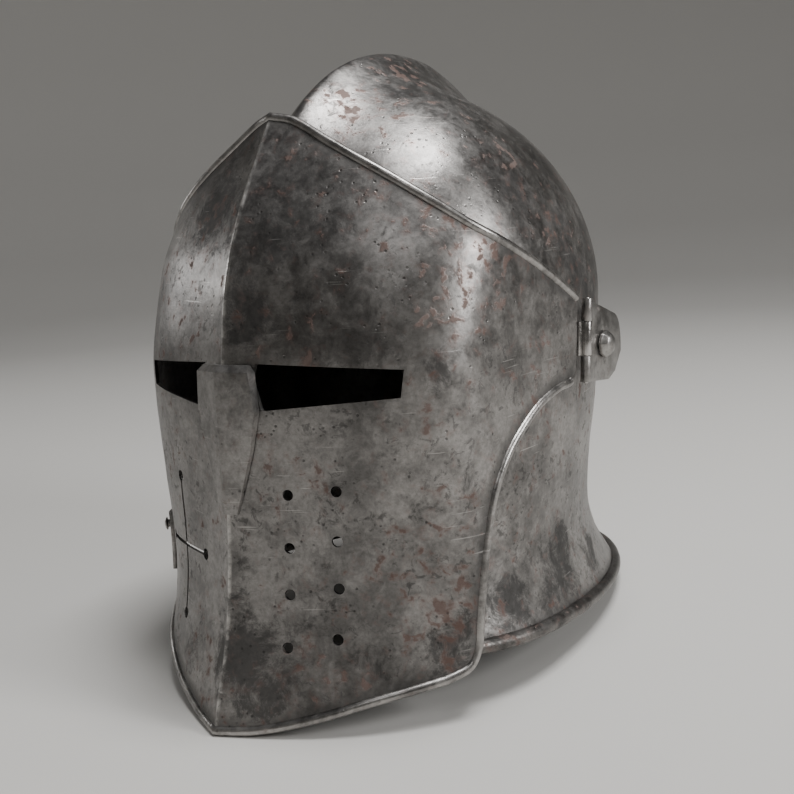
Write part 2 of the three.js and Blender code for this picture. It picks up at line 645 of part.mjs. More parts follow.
function makeCatchStud() {
  const profile = STUD_PROFILE.map(([r, h]) => new THREE.Vector2(r * STUD_RADIUS, h * STUD_RISE));
  const stud = new THREE.LatheGeometry(profile, STUD_SIDES);
  const normal = visorNormal(-CATCH_ANGLE, STUD_Z);
  stud.applyQuaternion(new THREE.Quaternion().setFromUnitVectors(new THREE.Vector3(0, 1, 0), normal));
  const foot = visorOffsetPoint(-CATCH_ANGLE, STUD_Z, 2 * GAP + CATCH_THICKNESS);
  stud.translate(foot.x, foot.y, foot.z);
  return toSolid(stud);
}

// ---- standing -----------------------------------------------------------------------------------

const chin = visorOffsetPoint(0, bottomEdge(0), -VISOR_WALL / 2);
const nape = new THREE.Vector3(0, SKULL_BACK_Y[0][1], sloped(SKULL_BACK_Y[0][1], SKULL_RIM_Z));
const span = nape.clone().sub(chin);
const lean = Math.atan2(span.z, span.y) - Math.asin((SKULL_ROLL_RADIUS - VISOR_ROLL_RADIUS) / span.length());
const floorShift = VISOR_ROLL_RADIUS - REST_CUT - Math.cos(lean) * chin.z + Math.sin(lean) * chin.y;
const standingFrame = new THREE.Matrix4().makeRotationX(-lean).setPosition(0, 0, floorShift);

function standing(solid) {
  return toGeometry(solid).applyMatrix4(standingFrame);
}

// Pieces that carry the helmet are trimmed flat where they meet the floor.
function onTheFloor(solid) {
  const slab = new THREE.BoxGeometry(...FLOOR_SLAB);
  slab.translate(0, 0, -FLOOR_SLAB[2] / 2);
  return toGeometry(toSolid(standing(solid)).subtract(toSolid(slab)));
}

// ---- assembly -----------------------------------------------------------------------------------

function steel(name, geometry, colour, roughness) {
  const material = new THREE.MeshStandardMaterial({ color: colour, roughness, metalness: 1 });
  const mesh = new THREE.Mesh(geometry, material);
  mesh.name = name;
  return mesh;
}

const PLATE_STEEL = 0x77746f;
const FITTING_STEEL = 0x8a8680;
const helmet = new THREE.Group();
helmet.add(steel('skull', makeSkull(), PLATE_STEEL, 0.45));
helmet.add(steel('visor', makeVisor(), PLATE_STEEL, 0.42));
helmet.add(steel('nasal_bridge', makeNasalBridge(), PLATE_STEEL, 0.45));
helmet.add(steel('catch_plate', standing(makeCatchPlate()), FITTING_STEEL, 0.4));
helmet.add(steel('catch_stud', standing(makeCatchStud()), FITTING_STEEL, 0.35));
const PAIRED = { hinge_leaf: makeLeaf, hinge_arm: makeArm, hinge_pin: makePin, pivot_bolt: makeBolt };
for (const [name, make] of Object.entries(PAIRED)) {
  const left = standing(make());
  helmet.add(steel(`${name}_left`, left, FITTING_STEEL, 0.4));
  helmet.add(steel(`${name}_right`, mirrored(left), FITTING_STEEL, 0.4));
}

// The origin is under the middle of the helmet.
const middle = new THREE.Box3().setFromObject(helmet).getCenter(new THREE.Vector3());
helmet.position.set(-middle.x, -middle.y, 0);

export default helmet;
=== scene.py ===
# %% [markdown]
# # A visored steel helmet
#
# This is an old war helmet of plate steel: a skull beaten up from one sheet, with a ridge along
# the top and a flared neck, and a deep visor that turns on two bolts. It is built here around
# a imported CAD model, which gives every piece its place and says what moves with what. First the
# model is loaded.

# %% Load the frame
import json
import math

import bmesh
import bpy
import numpy as np
from mathutils import Matrix, Vector, kdtree, noise

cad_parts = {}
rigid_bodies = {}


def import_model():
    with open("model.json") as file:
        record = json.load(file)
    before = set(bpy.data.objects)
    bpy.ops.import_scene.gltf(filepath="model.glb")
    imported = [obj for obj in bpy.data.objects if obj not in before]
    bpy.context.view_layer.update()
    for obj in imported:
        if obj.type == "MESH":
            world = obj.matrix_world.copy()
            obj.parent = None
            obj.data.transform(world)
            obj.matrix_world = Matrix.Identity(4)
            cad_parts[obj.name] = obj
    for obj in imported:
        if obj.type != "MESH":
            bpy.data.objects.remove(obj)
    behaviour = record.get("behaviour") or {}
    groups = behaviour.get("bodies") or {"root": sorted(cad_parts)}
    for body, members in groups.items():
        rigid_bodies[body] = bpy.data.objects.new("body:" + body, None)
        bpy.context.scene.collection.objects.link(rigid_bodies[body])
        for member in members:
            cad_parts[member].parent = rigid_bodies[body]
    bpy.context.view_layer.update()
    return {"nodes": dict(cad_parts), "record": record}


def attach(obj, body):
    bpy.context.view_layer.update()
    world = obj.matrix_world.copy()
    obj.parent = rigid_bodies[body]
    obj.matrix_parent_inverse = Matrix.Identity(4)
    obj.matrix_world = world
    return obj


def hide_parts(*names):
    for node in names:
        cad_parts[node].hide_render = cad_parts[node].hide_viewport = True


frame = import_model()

print("nodes:", sorted(frame["nodes"]))

# %% [markdown]
# ## From the drawing to the stand
#
# An armourer thinks of a helmet upright on a head: the sights level, the brow at the front.
# Standing on a table it leans back until chin and nape both touch. So every shape below is
# worked out in millimetres in the upright drawing, and one function turns it into its place on
# the table. The hinge of the visor is known in both, so it ties the two together. The lean is
# the tangent under the two rolled edges that carry the weight.

# %% Driving dimensions in the drawing, in mm
DEG = math.pi / 180
SKULL_PLATE = 1.8
VISOR_PLATE = 1.6
PIVOT = np.array([0.0, 151.5, 6.0])
SKULL_ROLL = 3.4
VISOR_ROLL = 2.2

SKULL_MID_Y = 130
SKULL_FRONT_Y = 27
RIM_Z = -125.6
RIM_SLOPE = 0.018
RIM_LEVEL_Y = 110
RIM_SLOPE_TOP_Z = -60
DOME_BASE_Z = 30
DOME_RISE = 107
SKULL_HALF_WIDTH = [(-125.6, 102), (-112, 97), (-95, 93.5), (-80, 92.5), (-50, 95), (-20, 97.6),
                    (30, 97.8)]
SKULL_BACK_Y = [(-125.6, 303), (-114, 290.5), (-100, 276), (-80, 263), (-50, 256), (-20, 259), (10, 262),
                (30, 262)]
FRONT_POWER = 2.6
BACK_POWER = 2.0
COMB_HEIGHT = [(0, 0), (20, 4), (45, 12.5), (70, 18.6), (88, 21.1), (98, 19.4), (110, 16.8), (124, 14.8),
               (136, 13), (152, 6.6), (172, 0)]
COMB_HALF_WIDTH = 17
COMB_POWER = 1.5

VISOR_AXIS_Y = 120
FRONT_RADIUS = [(-165, 104), (-145, 104.5), (-125, 106.5), (-104, 110), (-77, 115), (-60, 117.6), (-5, 122.6),
                (20, 120.8), (45, 116.6), (58, 112.4), (80, 104), (96, 97), (110, 90)]
CREASE_LIFT = [(-165, 29), (-145, 24.5), (-125, 18.3), (-104, 12.6), (-77, 6.8), (-50, 3.8), (-20, 2.6),
               (0, 1.6), (31, 2.8), (48, 2.3), (62, 2.5), (80, 1.9), (96, 1.2), (110, 1.5)]
CREASE_SPREAD = [(-165, 86), (-125, 70), (-100, 56), (-60, 38), (-40, 36), (110, 36)]
CREASE_POWER = [(-165, 0.85), (-60, 1.5), (110, 1.5)]
CREASE_DIP = 4.2
CREASE_DIP_SPREAD = 45
CHEEK_SWELL = [(-165, 6), (-104, 6), (-77, 2.6), (-60, 0), (110, 0)]
SWELL_START = 36
SWELL_SPREAD = 20
SIDE_HALF_WIDTH = 104.2
SIDE_Y = 136
SIDE_TAPER = 0.1
CORNER_POWER = 30
TOP_EDGE = [(0, 108), (7, 105.5), (17, 96.5), (33, 80.5), (45, 67), (54, 57), (65, 49), (76, 42), (89, 32.5),
            (94.4, 28)]
REAR_EDGE = [(94.4, 28), (94.4, 14), (94.4, 0), (94.2, -7), (91.5, -11.4), (86, -13.6), (77, -20), (70, -29),
             (64, -40), (59.5, -55), (57, -75), (56, -95), (55.5, -111), (55, -124), (52.8, -131.4),
             (47.5, -135.6)]
BOTTOM_EDGE = [(0, -159.8), (8, -157.8), (20, -151), (31, -143.6), (40, -139), (47.5, -135.6)]
print("plates of", SKULL_PLATE, "and", VISOR_PLATE, "mm, bolts at y, z:", PIVOT[1:].tolist())

# %% [markdown]
# ## Curves through a few points
#
# A smith checks a shape against a few templates. In the same way each outline above is
# a handful of places with a value at each, and a smooth curve runs between them. Curve objects
# could do it too, but a plain function is easier to ask for the value at any place.

# %% Two kinds of curve
def through(pairs):
    """A smooth curve through (place, value) pairs, held level past both ends."""
    place, value = np.array(pairs, float).T
    after = np.append(np.arange(1, len(place)), len(place) - 1)
    before = np.insert(np.arange(len(place) - 1), 0, 0)
    slope = (value[after] - value[before]) / (place[after] - place[before])

    def curve(at):
        at = np.asarray(at, float)
        i = np.clip(np.searchsorted(place, at) - 1, 0, len(place) - 2)
        span = place[i + 1] - place[i]
        t = np.clip((at - place[i]) / span, 0, 1)
        return ((2 * t**3 - 3 * t**2 + 1) * value[i] + (t**3 - 2 * t**2 + t) * span * slope[i]
                + (3 * t**2 - 2 * t**3) * value[i + 1] + (t**3 - t**2) * span * slope[i + 1])

    return curve


def along(points, at):
    """Points at shares 0..1 of an outline, drawn as a centripetal Catmull-Rom curve."""
    p = np.array(points, float)
    p = np.vstack([2 * p[0] - p[1], p, 2 * p[-1] - p[-2]])
    t = np.asarray(at, float) * (len(points) - 1)
    i = np.clip(np.floor(t).astype(int), 0, len(points) - 2)
    t = (t - i)[:, None]
    a, b, c, d = p[i], p[i + 1], p[i + 2], p[i + 3]
    gap = lambda u, v: np.sqrt(np.linalg.norm(v - u, axis=1, keepdims=True))
    d0, d1, d2 = gap(a, b), gap(b, c), gap(c, d)
    start = ((b - a) / d0 - (c - a) / (d0 + d1) + (c - b) / d1) * d1
    end = ((c - b) / d1 - (d - b) / (d1 + d2) + (d - c) / d2) * d1
    return b + start * t + (3 * (c - b) - 2 * start - end) * t**2 + (2 * (b - c) + start + end) * t**3


half_width, skull_back = through(SKULL_HALF_WIDTH), through(SKULL_BACK_Y)
comb_height = through(COMB_HEIGHT)
front_radius, crease_lift = through(FRONT_RADIUS), through(CREASE_LIFT)
crease_spread, crease_power = through(CREASE_SPREAD), through(CREASE_POWER)
cheek_swell, top_edge, bottom_edge = through(CHEEK_SWELL), through(TOP_EDGE), through(BOTTOM_EDGE)
print("crest of the comb above the bolts, mm:", float(DOME_BASE_Z + DOME_RISE + comb_height(90) - PIVOT[2]))

# %% [markdown]
# ## The visor's rule
#
# The visor is one sheet bowed round the face, with a crease down the middle that stands out
# like a keel at the chin. It follows a rule rather than a sketch: at each height the sheet has
# a radius round an upright line, the crease adds a lift that fades with the angle from it, and
# towards the temples the sheet runs straight back. A rule like this can be sampled as finely
# as wanted, and the wall, the rolled edges and the pierced holes all read the same one.

# %% The face of the visor
DIP_TO_ONE = 27 / 4  # makes the dip's curve s(1 - s)^2 reach 1 at its deepest
NORMAL_STEP = 0.5


def visor_point(angle, z, out=0.0):
    """Points out mm from the visor's outer face, at angles from the crease and heights."""
    angle, z = np.broadcast_arrays(np.asarray(angle, float), np.asarray(z, float))

    def face(angle, z):
        turn = np.abs(angle)
        lift = crease_lift(z) * np.maximum(0, 1 - turn / crease_spread(z)) ** crease_power(z)
        s = np.minimum(turn / CREASE_DIP_SPREAD, 1)
        dip = CREASE_DIP * DIP_TO_ONE * s * (1 - s) ** 2
        swell = cheek_swell(z) * (np.maximum(0, turn - SWELL_START) / SWELL_SPREAD) ** 2
        front = front_radius(z) + lift - dip + swell
        slant = np.maximum(np.sin(turn * DEG) + SIDE_TAPER * np.cos(turn * DEG), 0.2)
        side = (SIDE_HALF_WIDTH - (SIDE_Y - VISOR_AXIS_Y) * SIDE_TAPER) / slant
        radius = (front**-CORNER_POWER + side**-CORNER_POWER) ** (-1 / CORNER_POWER)
        return np.stack([radius * np.sin(angle * DEG), VISOR_AXIS_Y - radius * np.cos(angle * DEG), z], -1)

    point = face(angle, z)
    step = NORMAL_STEP
    normal = np.cross(face(angle + step, z) - face(angle - step, z),
                      face(angle, z + step) - face(angle, z - step))
    return point + out * normal / np.linalg.norm(normal, axis=-1, keepdims=True)


print("visor's face at the sights, mm:", visor_point(0, 0).round(2))

# %% [markdown]
# ## The lean
#
# On the table the helmet rests on two rolled edges, at the chin and at the nape. The line that
# touches both rolls from below is the table, so its slope in the drawing is the lean. It could
# be measured from the loaded model, but worked out here it follows the dimensions above.

# %% Where the drawing stands on the table
def sloped(y, z):
    """Heights of the neck's levels: they slope up a little towards the nape."""
    share = np.clip((RIM_SLOPE_TOP_Z - z) / (RIM_SLOPE_TOP_Z - RIM_Z), 0, 1)
    return z + share * RIM_SLOPE * (y - RIM_LEVEL_Y)


chin = visor_point(0, bottom_edge(0), -VISOR_PLATE / 2)
nape = np.array([0, SKULL_BACK_Y[0][1], sloped(SKULL_BACK_Y[0][1], RIM_Z)])
span = nape - chin
lean = math.atan2(span[2], span[1]) - math.asin((SKULL_ROLL - VISOR_ROLL) / np.linalg.norm(span))
turn_back = np.array(Matrix.Rotation(-lean, 3, "X"))
visor_joint = frame["record"]["behaviour"]["joints"][0]
pivot_m = np.array(visor_joint["pos_m"])


def on_table(points):
    """Drawing points in mm, as places on the table in m."""
    return (np.asarray(points, float) - PIVOT) @ turn_back.T / 1000 + pivot_m


print("lean of the helmet, degrees:", round(lean / DEG, 2), " chin at z, m:", on_table(chin)[2].round(5))

# %% [markdown]
# ## Meshes and cutters
#
# Three helpers turn numbers into pieces. A wall is an outer and an inner grid of points, joined
# round its edge, so it is closed and has the real thickness of the sheet. Its inner face gets
# a second material, because the inside of a helmet is never polished. Holes are cut with the
# Boolean modifier, which is then baked into the mesh. A slow swell of a few tenths of a
# millimetre is pressed into every sheet, as hammering and use leave it.

# %% Hammer marks
DENT_SIZE = 42.0
FINE_SHARE = 0.3


def dented(points, depth):
    """How far a hammer leaves each point of a grid in or out of the sheet, in mm."""
    depths = []
    for p in points.reshape(-1, 3):
        broad = noise.noise(Vector(p) / DENT_SIZE)
        depths.append(broad + FINE_SHARE * noise.noise(Vector(p) / (DENT_SIZE * FINE_SHARE)))
    return depth * np.array(depths).reshape(points.shape[:-1])


# %% Mesh helpers
def mesh_piece(name, points, faces, inner_faces=()):
    """An object with its place in its mesh. inner_faces get the second material slot."""
    mesh = bpy.data.meshes.new(name)
    mesh.from_pydata(on_table(points).tolist(), [], list(faces) + list(inner_faces))
    index = np.zeros(len(mesh.polygons), np.int32)
    index[len(faces):] = 1
    mesh.polygons.foreach_set("material_index", index)
    piece = bpy.data.objects.new(name, mesh)
    bpy.context.collection.objects.link(piece)
    return piece


def grid_faces(rows, columns, start=0, ring=False, flip=False):
    """Four-sided faces over a grid of points, closed into rings if asked."""
    faces = []
    for r in range(rows - 1):
        for c in range(columns if ring else columns - 1):
            n = (c + 1) % columns
            face = [start + r * columns + c, start + (r + 1) * columns + c,
                    start + (r + 1) * columns + n, start + r * columns + n]
            faces.append(face[::-1] if flip else face)
    return faces


def settle(piece, sharp=35):
    """Applies the modifiers, and shades the mesh smooth up to a sharp angle."""
    graph = bpy.context.evaluated_depsgraph_get()
    mesh = bpy.data.meshes.new_from_object(piece.evaluated_get(graph))
    mesh.name = piece.name
    piece.modifiers.clear()
    piece.data = mesh
    mesh.shade_smooth()
    mesh.set_sharp_from_angle(angle=sharp * DEG)
    return piece


def cut(piece, *cutters):
    """Takes the cutters out of a piece, one after another."""
    for cutter in cutters:
        knife = piece.modifiers.new("cut", "BOOLEAN")
        knife.operation = "DIFFERENCE"
        knife.solver = "EXACT"
        knife.object = cutter
    settle(piece)
    for cutter in cutters:
        bpy.data.objects.remove(cutter)
    return piece


def prisms(name, outlines):
    """One cutter of several prisms. Each outline is its near points and its far points."""
    points, faces = [], []
    for near, far in outlines:
        n, start = len(near), len(points)
        points += list(near) + list(far)
        faces += [[start + k for k in range(n)], [start + n + k for k in reversed(range(n))]]
        for k in range(n):
            after = (k + 1) % n
            faces.append([start + k, start + n + k, start + n + after, start + after])
    cutter = mesh_piece(name, np.array(points), faces)
    tidy = bmesh.new()
    tidy.from_mesh(cutter.data)
    bmesh.ops.recalc_face_normals(tidy, faces=tidy.faces)
    tidy.to_mesh(cutter.data)
    tidy.free()
    return cutter


def mark_distance(piece, path, name="from_edge"):
    """Stores each vertex's distance from a path on the sheet, in m, for the finish to read."""
    tree = kdtree.KDTree(len(path))
    for k, p in enumerate(on_table(path)):
        tree.insert(p, k)
    tree.balance()
    layer = piece.data.attributes.new(name, "FLOAT", "POINT")
    layer.data.foreach_set("value", [tree.find(v.co)[2] for v in piece.data.vertices])


# %% [markdown]
# ## The skull
#
# The skull covers the head and neck. A smith sinks the dome from a disc, raises the ridge
# called a comb along its top, and draws out the neck below in a flare. Here it is a stack of
# rings: rounded boxes in plan for the sides and neck, and shrinking ones for the dome. The comb
# then lifts each point away from the bolts, most at the middle. The arch for the face is cut
# out of the front as a last step.

# %% Rings of the skull
SECTORS = 176
SIDE_LEVELS = 58
DOME_LEVELS = 46
CROWDING = 1.25

quarter = np.arange(SECTORS) / SECTORS * 4
whole = np.floor(quarter).astype(int)
part = quarter - whole
crowded = np.where(whole % 2 == 0, 1 - (1 - part) ** CROWDING, part**CROWDING)
around = (whole + crowded) * math.pi / 2


def with_comb(points):
    """Lifts points away from the bolts, most on the middle plane."""
    dy, dz = points[..., 1] - PIVOT[1], points[..., 2] - PIVOT[2]
    angle = np.arctan2(dz, dy) / DEG
    fade = np.exp(-((np.abs(points[..., 0]) / COMB_HALF_WIDTH) ** COMB_POWER))
    lift = np.where(angle > 0, comb_height(angle) * fade, 0) / np.hypot(dy, dz)
    return points + np.stack([lift * 0, lift * dy, lift * dz], -1)


def skull_ring(z, half, front, back):
    """One level of the skull: a rounded box in plan, fuller at the back than at the front."""
    across, deep = np.cos(around), np.sin(around)
    power = np.where(deep < 0, FRONT_POWER, BACK_POWER)
    depth = np.where(deep < 0, SKULL_MID_Y - front, back - SKULL_MID_Y)
    x = np.sign(across) * half * np.abs(across) ** (2 / power)
    y = SKULL_MID_Y + np.sign(deep) * depth * np.abs(deep) ** (2 / power)
    return with_comb(np.stack([x, y, sloped(y, np.full_like(y, z))], -1))


def skull_grid(inset):
    """Every level from the neck's rim to just under the crown, inset mm inside the outer face."""
    rings = []
    for z in np.linspace(RIM_Z, DOME_BASE_Z, SIDE_LEVELS, endpoint=False):
        rings.append(skull_ring(z, half_width(z) - inset, SKULL_FRONT_Y + inset, skull_back(z) - inset))
    half, back = half_width(DOME_BASE_Z) - inset, skull_back(DOME_BASE_Z) - inset
    for rise in np.linspace(0, math.pi / 2, DOME_LEVELS + 1)[:-1]:
        shrink = math.cos(rise)
        front_y = SKULL_MID_Y - (SKULL_MID_Y - SKULL_FRONT_Y - inset) * shrink
        back_y = SKULL_MID_Y + (back - SKULL_MID_Y) * shrink
        level = DOME_BASE_Z + (DOME_RISE - inset) * math.sin(rise)
        rings.append(skull_ring(level, half * shrink, front_y, back_y))
    return np.array(rings)


def ring_normals(rings):
    """Outward directions at every point of the rings."""
    turn = np.roll(rings, -1, 1) - np.roll(rings, 1, 1)
    climb = np.gradient(rings, axis=0)
    normal = np.cross(turn, climb)
    return normal / np.maximum(np.linalg.norm(normal, axis=-1, keepdims=True), 1e-9)


print("skull:", SIDE_LEVELS, "levels of side,", DOME_LEVELS, "of dome,", SECTORS, "points round each")

# %% Skull wall
SKULL_DENTS = 0.28
SKULL_DENT_SHARE = 0.9
SKULL_SINK = 0.12  # the sheet lies this far inside its size, which leaves some room for dents

outer, inner = skull_grid(0), skull_grid(SKULL_PLATE)
dents = dented(outer, SKULL_DENTS)
dents[0] = 0
outer += (dents * SKULL_DENT_SHARE - SKULL_SINK)[..., None] * ring_normals(outer)
inner += (dents * SKULL_DENT_SHARE - SKULL_SINK)[..., None] * ring_normals(inner)
levels = len(outer)
top_out = with_comb(np.array([0.0, SKULL_MID_Y, DOME_BASE_Z + DOME_RISE])) - [0, 0, SKULL_SINK]
top_in = top_out - [0, 0, SKULL_PLATE]
points = np.vstack([outer.reshape(-1, 3), inner.reshape(-1, 3), [top_out, top_in]])
inside = levels * SECTORS
pole = 2 * inside
faces = grid_faces(levels, SECTORS, ring=True, flip=True)
inner_faces = grid_faces(levels, SECTORS, start=inside, ring=True)
last = (levels - 1) * SECTORS
for k in range(SECTORS):
    n = (k + 1) % SECTORS
    faces.append([last + k, last + n, pole])
    inner_faces.append([inside + last + n, inside + last + k, pole + 1])
    faces.append([n, k, inside + k, inside + n])
skull = mesh_piece("skull_plate", points, faces, inner_faces)
print("skull wall has", len(points), "points")

# %% [markdown]
# ## The face opening
#
# Behind the visor the skull is open for the face, under a round-cornered arch. It is hidden
# when the visor is down. A smith would chisel it out of the raised shell, and the same is done
# here: one cutter takes out the arch and the two holes for the bolts.

# %% Face arch and bolt holes
FACE_HALF_WIDTH = 78
FACE_TOP_Z = 38
FACE_CORNER = 46
FACE_BACK_Y = 84
BOLT_HOLE = 3.3
ARCH_POINTS = 25
HOLE_POINTS = 32
BELOW_RIM = 20
BEFORE_FACE_Y = -30
HOLE_STARTS_X = (80, -110)
HOLE_DEPTH = 30

reach = FACE_HALF_WIDTH - FACE_CORNER
arch = [(-FACE_HALF_WIDTH, RIM_Z - BELOW_RIM), (FACE_HALF_WIDTH, RIM_Z - BELOW_RIM)]
for t in np.linspace(0, 180, ARCH_POINTS) * DEG:
    side = math.copysign(1, math.cos(t)) * (abs(math.cos(t)) > 1e-6)
    arch.append((reach * side + FACE_CORNER * math.cos(t),
                 FACE_TOP_Z - FACE_CORNER + FACE_CORNER * math.sin(t)))
near, far = [[(x, y, z) for x, z in arch] for y in (BEFORE_FACE_Y, FACE_BACK_Y)]
ring = [(PIVOT[1] + BOLT_HOLE * math.cos(t), PIVOT[2] + BOLT_HOLE * math.sin(t))
        for t in np.linspace(0, 2 * math.pi, HOLE_POINTS, endpoint=False)]
bolt_holes = [([(x, y, z) for y, z in ring], [(x + HOLE_DEPTH, y, z) for y, z in ring])
              for x in HOLE_STARTS_X]
cut(skull, prisms("face_arch", [(near, far)] + bolt_holes))
print("skull faces:", len(skull.data.polygons))

# %% [markdown]
# ## The visor wall
#
# The outline of the visor climbs to a point over the brow, runs down to the hinges, sweeps
# round the neck and back to the chin. A plain grid could be trimmed to that line, but a patch
# spread between the edges has rows and columns that follow them, so the edge is clean.

# %% Visor grid
COLUMNS = 74
ROWS = 112


def visor_spots(u, v):
    """Angle and height at shares u, crease to rear edge, and v, top to bottom."""
    rear_angle, rear_z = along(REAR_EDGE, v).T
    (end_angle, end_z), (low_angle, low_z) = REAR_EDGE[0], REAR_EDGE[-1]
    apex_z, chin_z = TOP_EDGE[0][1], BOTTOM_EDGE[0][1]
    rear_angle, rear_z, v = rear_angle[:, None], rear_z[:, None], v[:, None]
    above = top_edge(u * end_angle) - ((1 - u) * apex_z + u * end_z)
    below = bottom_edge(u * low_angle) - ((1 - u) * chin_z + u * low_z)
    z = (1 - u) * (apex_z + (chin_z - apex_z) * v) + u * rear_z + (1 - v) * above + v * below
    return u * rear_angle, z


# %% Visor wall
VISOR_DENTS = 0.24
VISOR_SINK = 0.1

side = np.linspace(-1, 1, 2 * COLUMNS + 1)
angle, height = visor_spots(np.abs(side), np.linspace(0, 1, ROWS + 1))
angle = angle * np.sign(side)
dents = dented(visor_point(angle, height), VISOR_DENTS)[..., None]
face_normal = visor_point(angle, height, 1) - visor_point(angle, height)
outer = visor_point(angle, height) + (dents - VISOR_SINK) * face_normal
inner = visor_point(angle, height, -VISOR_PLATE) + (dents - VISOR_SINK) * face_normal
rows, columns = outer.shape[:2]
inside = rows * columns
faces = grid_faces(rows, columns)
inner_faces = grid_faces(rows, columns, start=inside, flip=True)
edge = ([r * columns for r in range(rows)]
        + [(rows - 1) * columns + c for c in range(1, columns)]
        + [r * columns + columns - 1 for r in range(rows - 2, -1, -1)]
        + [c for c in range(columns - 2, 0, -1)])
for a, b in zip(edge, edge[1:] + edge[:1]):
    faces.append([b, a, inside + a, inside + b])
points = np.vstack([outer.reshape(-1, 3), inner.reshape(-1, 3)])
visor = mesh_piece("visor_plate", points, faces, inner_faces)
print("visor wall:", rows, "rows and", columns, "columns")

# %% [markdown]
# ## Sights, breaths and the pierced cross
#
# The wearer looks out through the sights and breathes through the breaths. The sights are cut
# straight through, as with a chisel from the front. The breaths are punched, and the cross is
# sawn between drilled holes, both square to the sheet. Cutters of the same shapes do it here.

# %% Outlines and cutters of the openings
SIGHT = [(15, -0.5), (13.4, -7), (17.3, -20.5), (73.6, -13.6), (75, -2)]
BREATH_RADIUS = 2.4
BREATHS = [(13.2, -56.3), (13.2, -79.5), (13.2, -99.9), (13, -122.8), (24, -53.7), (24, -75.4), (24.2, -96),
           (24, -118)]
CROSS_SPOT = (-24.2, -89.3)
CROSS_UP = 33.4
CROSS_ACROSS = 23.6
CROSS_SLOT = 0.9
CROSS_END = 2.7
CROSS_END_POINTS = 18
BREATH_POINTS = 28
PUNCH_REACH = 12
CHISEL_Y = (-40, 60)


def through_plate(outline, spot):
    """Near and far points of a prism that passes square through the sheet at a spot."""
    turn = spot[0] * DEG
    centre = visor_point(*spot)
    sideways = np.array([math.cos(turn), math.sin(turn), 0])
    outwards = np.array([math.sin(turn), -math.cos(turn), 0])
    flat = [centre + x * sideways + np.array([0, 0, z]) for x, z in outline]
    return [p + PUNCH_REACH * outwards for p in flat], [p - PUNCH_REACH * outwards for p in flat]


def dumbbell(reach, slot, end, upright):
    """The outline of a narrow slot with a round hole at both ends."""
    bite = math.asin(slot / end)
    turns = np.linspace(-math.pi + bite, math.pi - bite, CROSS_END_POINTS)
    right = [(reach + end * math.cos(t), end * math.sin(t)) for t in turns]
    outline = right + [(-x, -z) for x, z in right]
    return [(-z, x) for x, z in outline] if upright else outline


# %% Cutting the openings
sights = []
for flip in (1, -1):
    sights.append([[(flip * x, y, z) for x, z in SIGHT] for y in CHISEL_Y])
round_hole = [(BREATH_RADIUS * math.cos(t), BREATH_RADIUS * math.sin(t))
              for t in np.linspace(0, 2 * math.pi, BREATH_POINTS, endpoint=False)]
breaths = [through_plate(round_hole, spot) for spot in BREATHS]
cutters = [prisms("sights_and_breaths", sights + breaths)]
for name, length, upright in (("cross_upright", CROSS_UP, True), ("cross_level", CROSS_ACROSS, False)):
    outline = dumbbell(length, CROSS_SLOT, CROSS_END, upright)
    cutters.append(prisms(name, [through_plate(outline, CROSS_SPOT)]))
cut(visor, *cutters)
print("visor faces:", len(visor.data.polygons))

# %% [markdown]
# ## Rolled edges
#
# The edges of the plates are turned over a wire, which stiffens them and keeps them from
# cutting the wearer. The roll follows the sheet's own edge, so Geometry Nodes make it: a line
# of points along the edge becomes a curve, a round section is drawn along it, and the section
# swells and thins a little by noise, because it is closed by hammer. One tree makes all three
# rolls with different sizes. The result is baked to plain meshes, one for each roll.

# %% One small function for nodes
def add(tree, kind, inputs=None, **settings):
    """Adds a node with its settings. An input is a value, or a node or socket to link from."""
    node = tree.nodes.new(kind)
    for key, value in settings.items():
        setattr(node, key, value)
    for key, value in (inputs or {}).items():
        source = value.outputs[0] if isinstance(value, bpy.types.Node) else value
        if isinstance(source, bpy.types.NodeSocket):
            tree.links.new(source, node.inputs[key])
        else:
            node.inputs[key].default_value = source
    return node


# %% The inputs of the tree
ROLL_SECTION = 20
roll_tree = bpy.data.node_groups.new("rolled_edge", "GeometryNodeTree")
face_of = roll_tree.interface
face_of.new_socket("Edge line", in_out="INPUT", socket_type="NodeSocketGeometry")
roll_inputs = {}
for name, kind, value in [("Radius", "NodeSocketFloat", 0.002), ("Unevenness", "NodeSocketFloat", 0.06),
                          ("Wave", "NodeSocketFloat", 0.018), ("Steel", "NodeSocketMaterial", None)]:
    socket = face_of.new_socket(name, in_out="INPUT", socket_type=kind)
    if value is not None:
        socket.default_value = value
    roll_inputs[name] = socket.identifier
face_of.new_socket("Roll", in_out="OUTPUT", socket_type="NodeSocketGeometry")
print("inputs of the rolled edge:", roll_inputs)

# %% The tree of a rolled edge
given = add(roll_tree, "NodeGroupInput")
line = add(roll_tree, "GeometryNodeMeshToCurve", {0: given.outputs["Edge line"]})
place = add(roll_tree, "GeometryNodeInputPosition")
per_wave = add(roll_tree, "ShaderNodeMath", {0: 1.0, 1: given.outputs["Wave"]}, operation="DIVIDE")
waves = add(roll_tree, "ShaderNodeTexNoise", {"Vector": place, "Scale": per_wave, "Detail": 2.0})
swing = add(roll_tree, "ShaderNodeMapRange", {"Value": waves, "From Min": 0.3, "From Max": 0.7,
                                              "To Min": 0.0, "To Max": given.outputs["Unevenness"]})
share = add(roll_tree, "ShaderNodeMath", {0: 1.0, 1: swing}, operation="SUBTRACT")
thick = add(roll_tree, "ShaderNodeMath", {0: share, 1: given.outputs["Radius"]}, operation="MULTIPLY")
swollen = add(roll_tree, "GeometryNodeSetCurveRadius", {0: line, "Radius": thick})
section = add(roll_tree, "GeometryNodeCurvePrimitiveCircle", {"Resolution": ROLL_SECTION, "Radius": 1.0})
bar = add(roll_tree, "GeometryNodeCurveToMesh", {"Curve": swollen, "Profile Curve": section,
                                                 "Fill Caps": True})
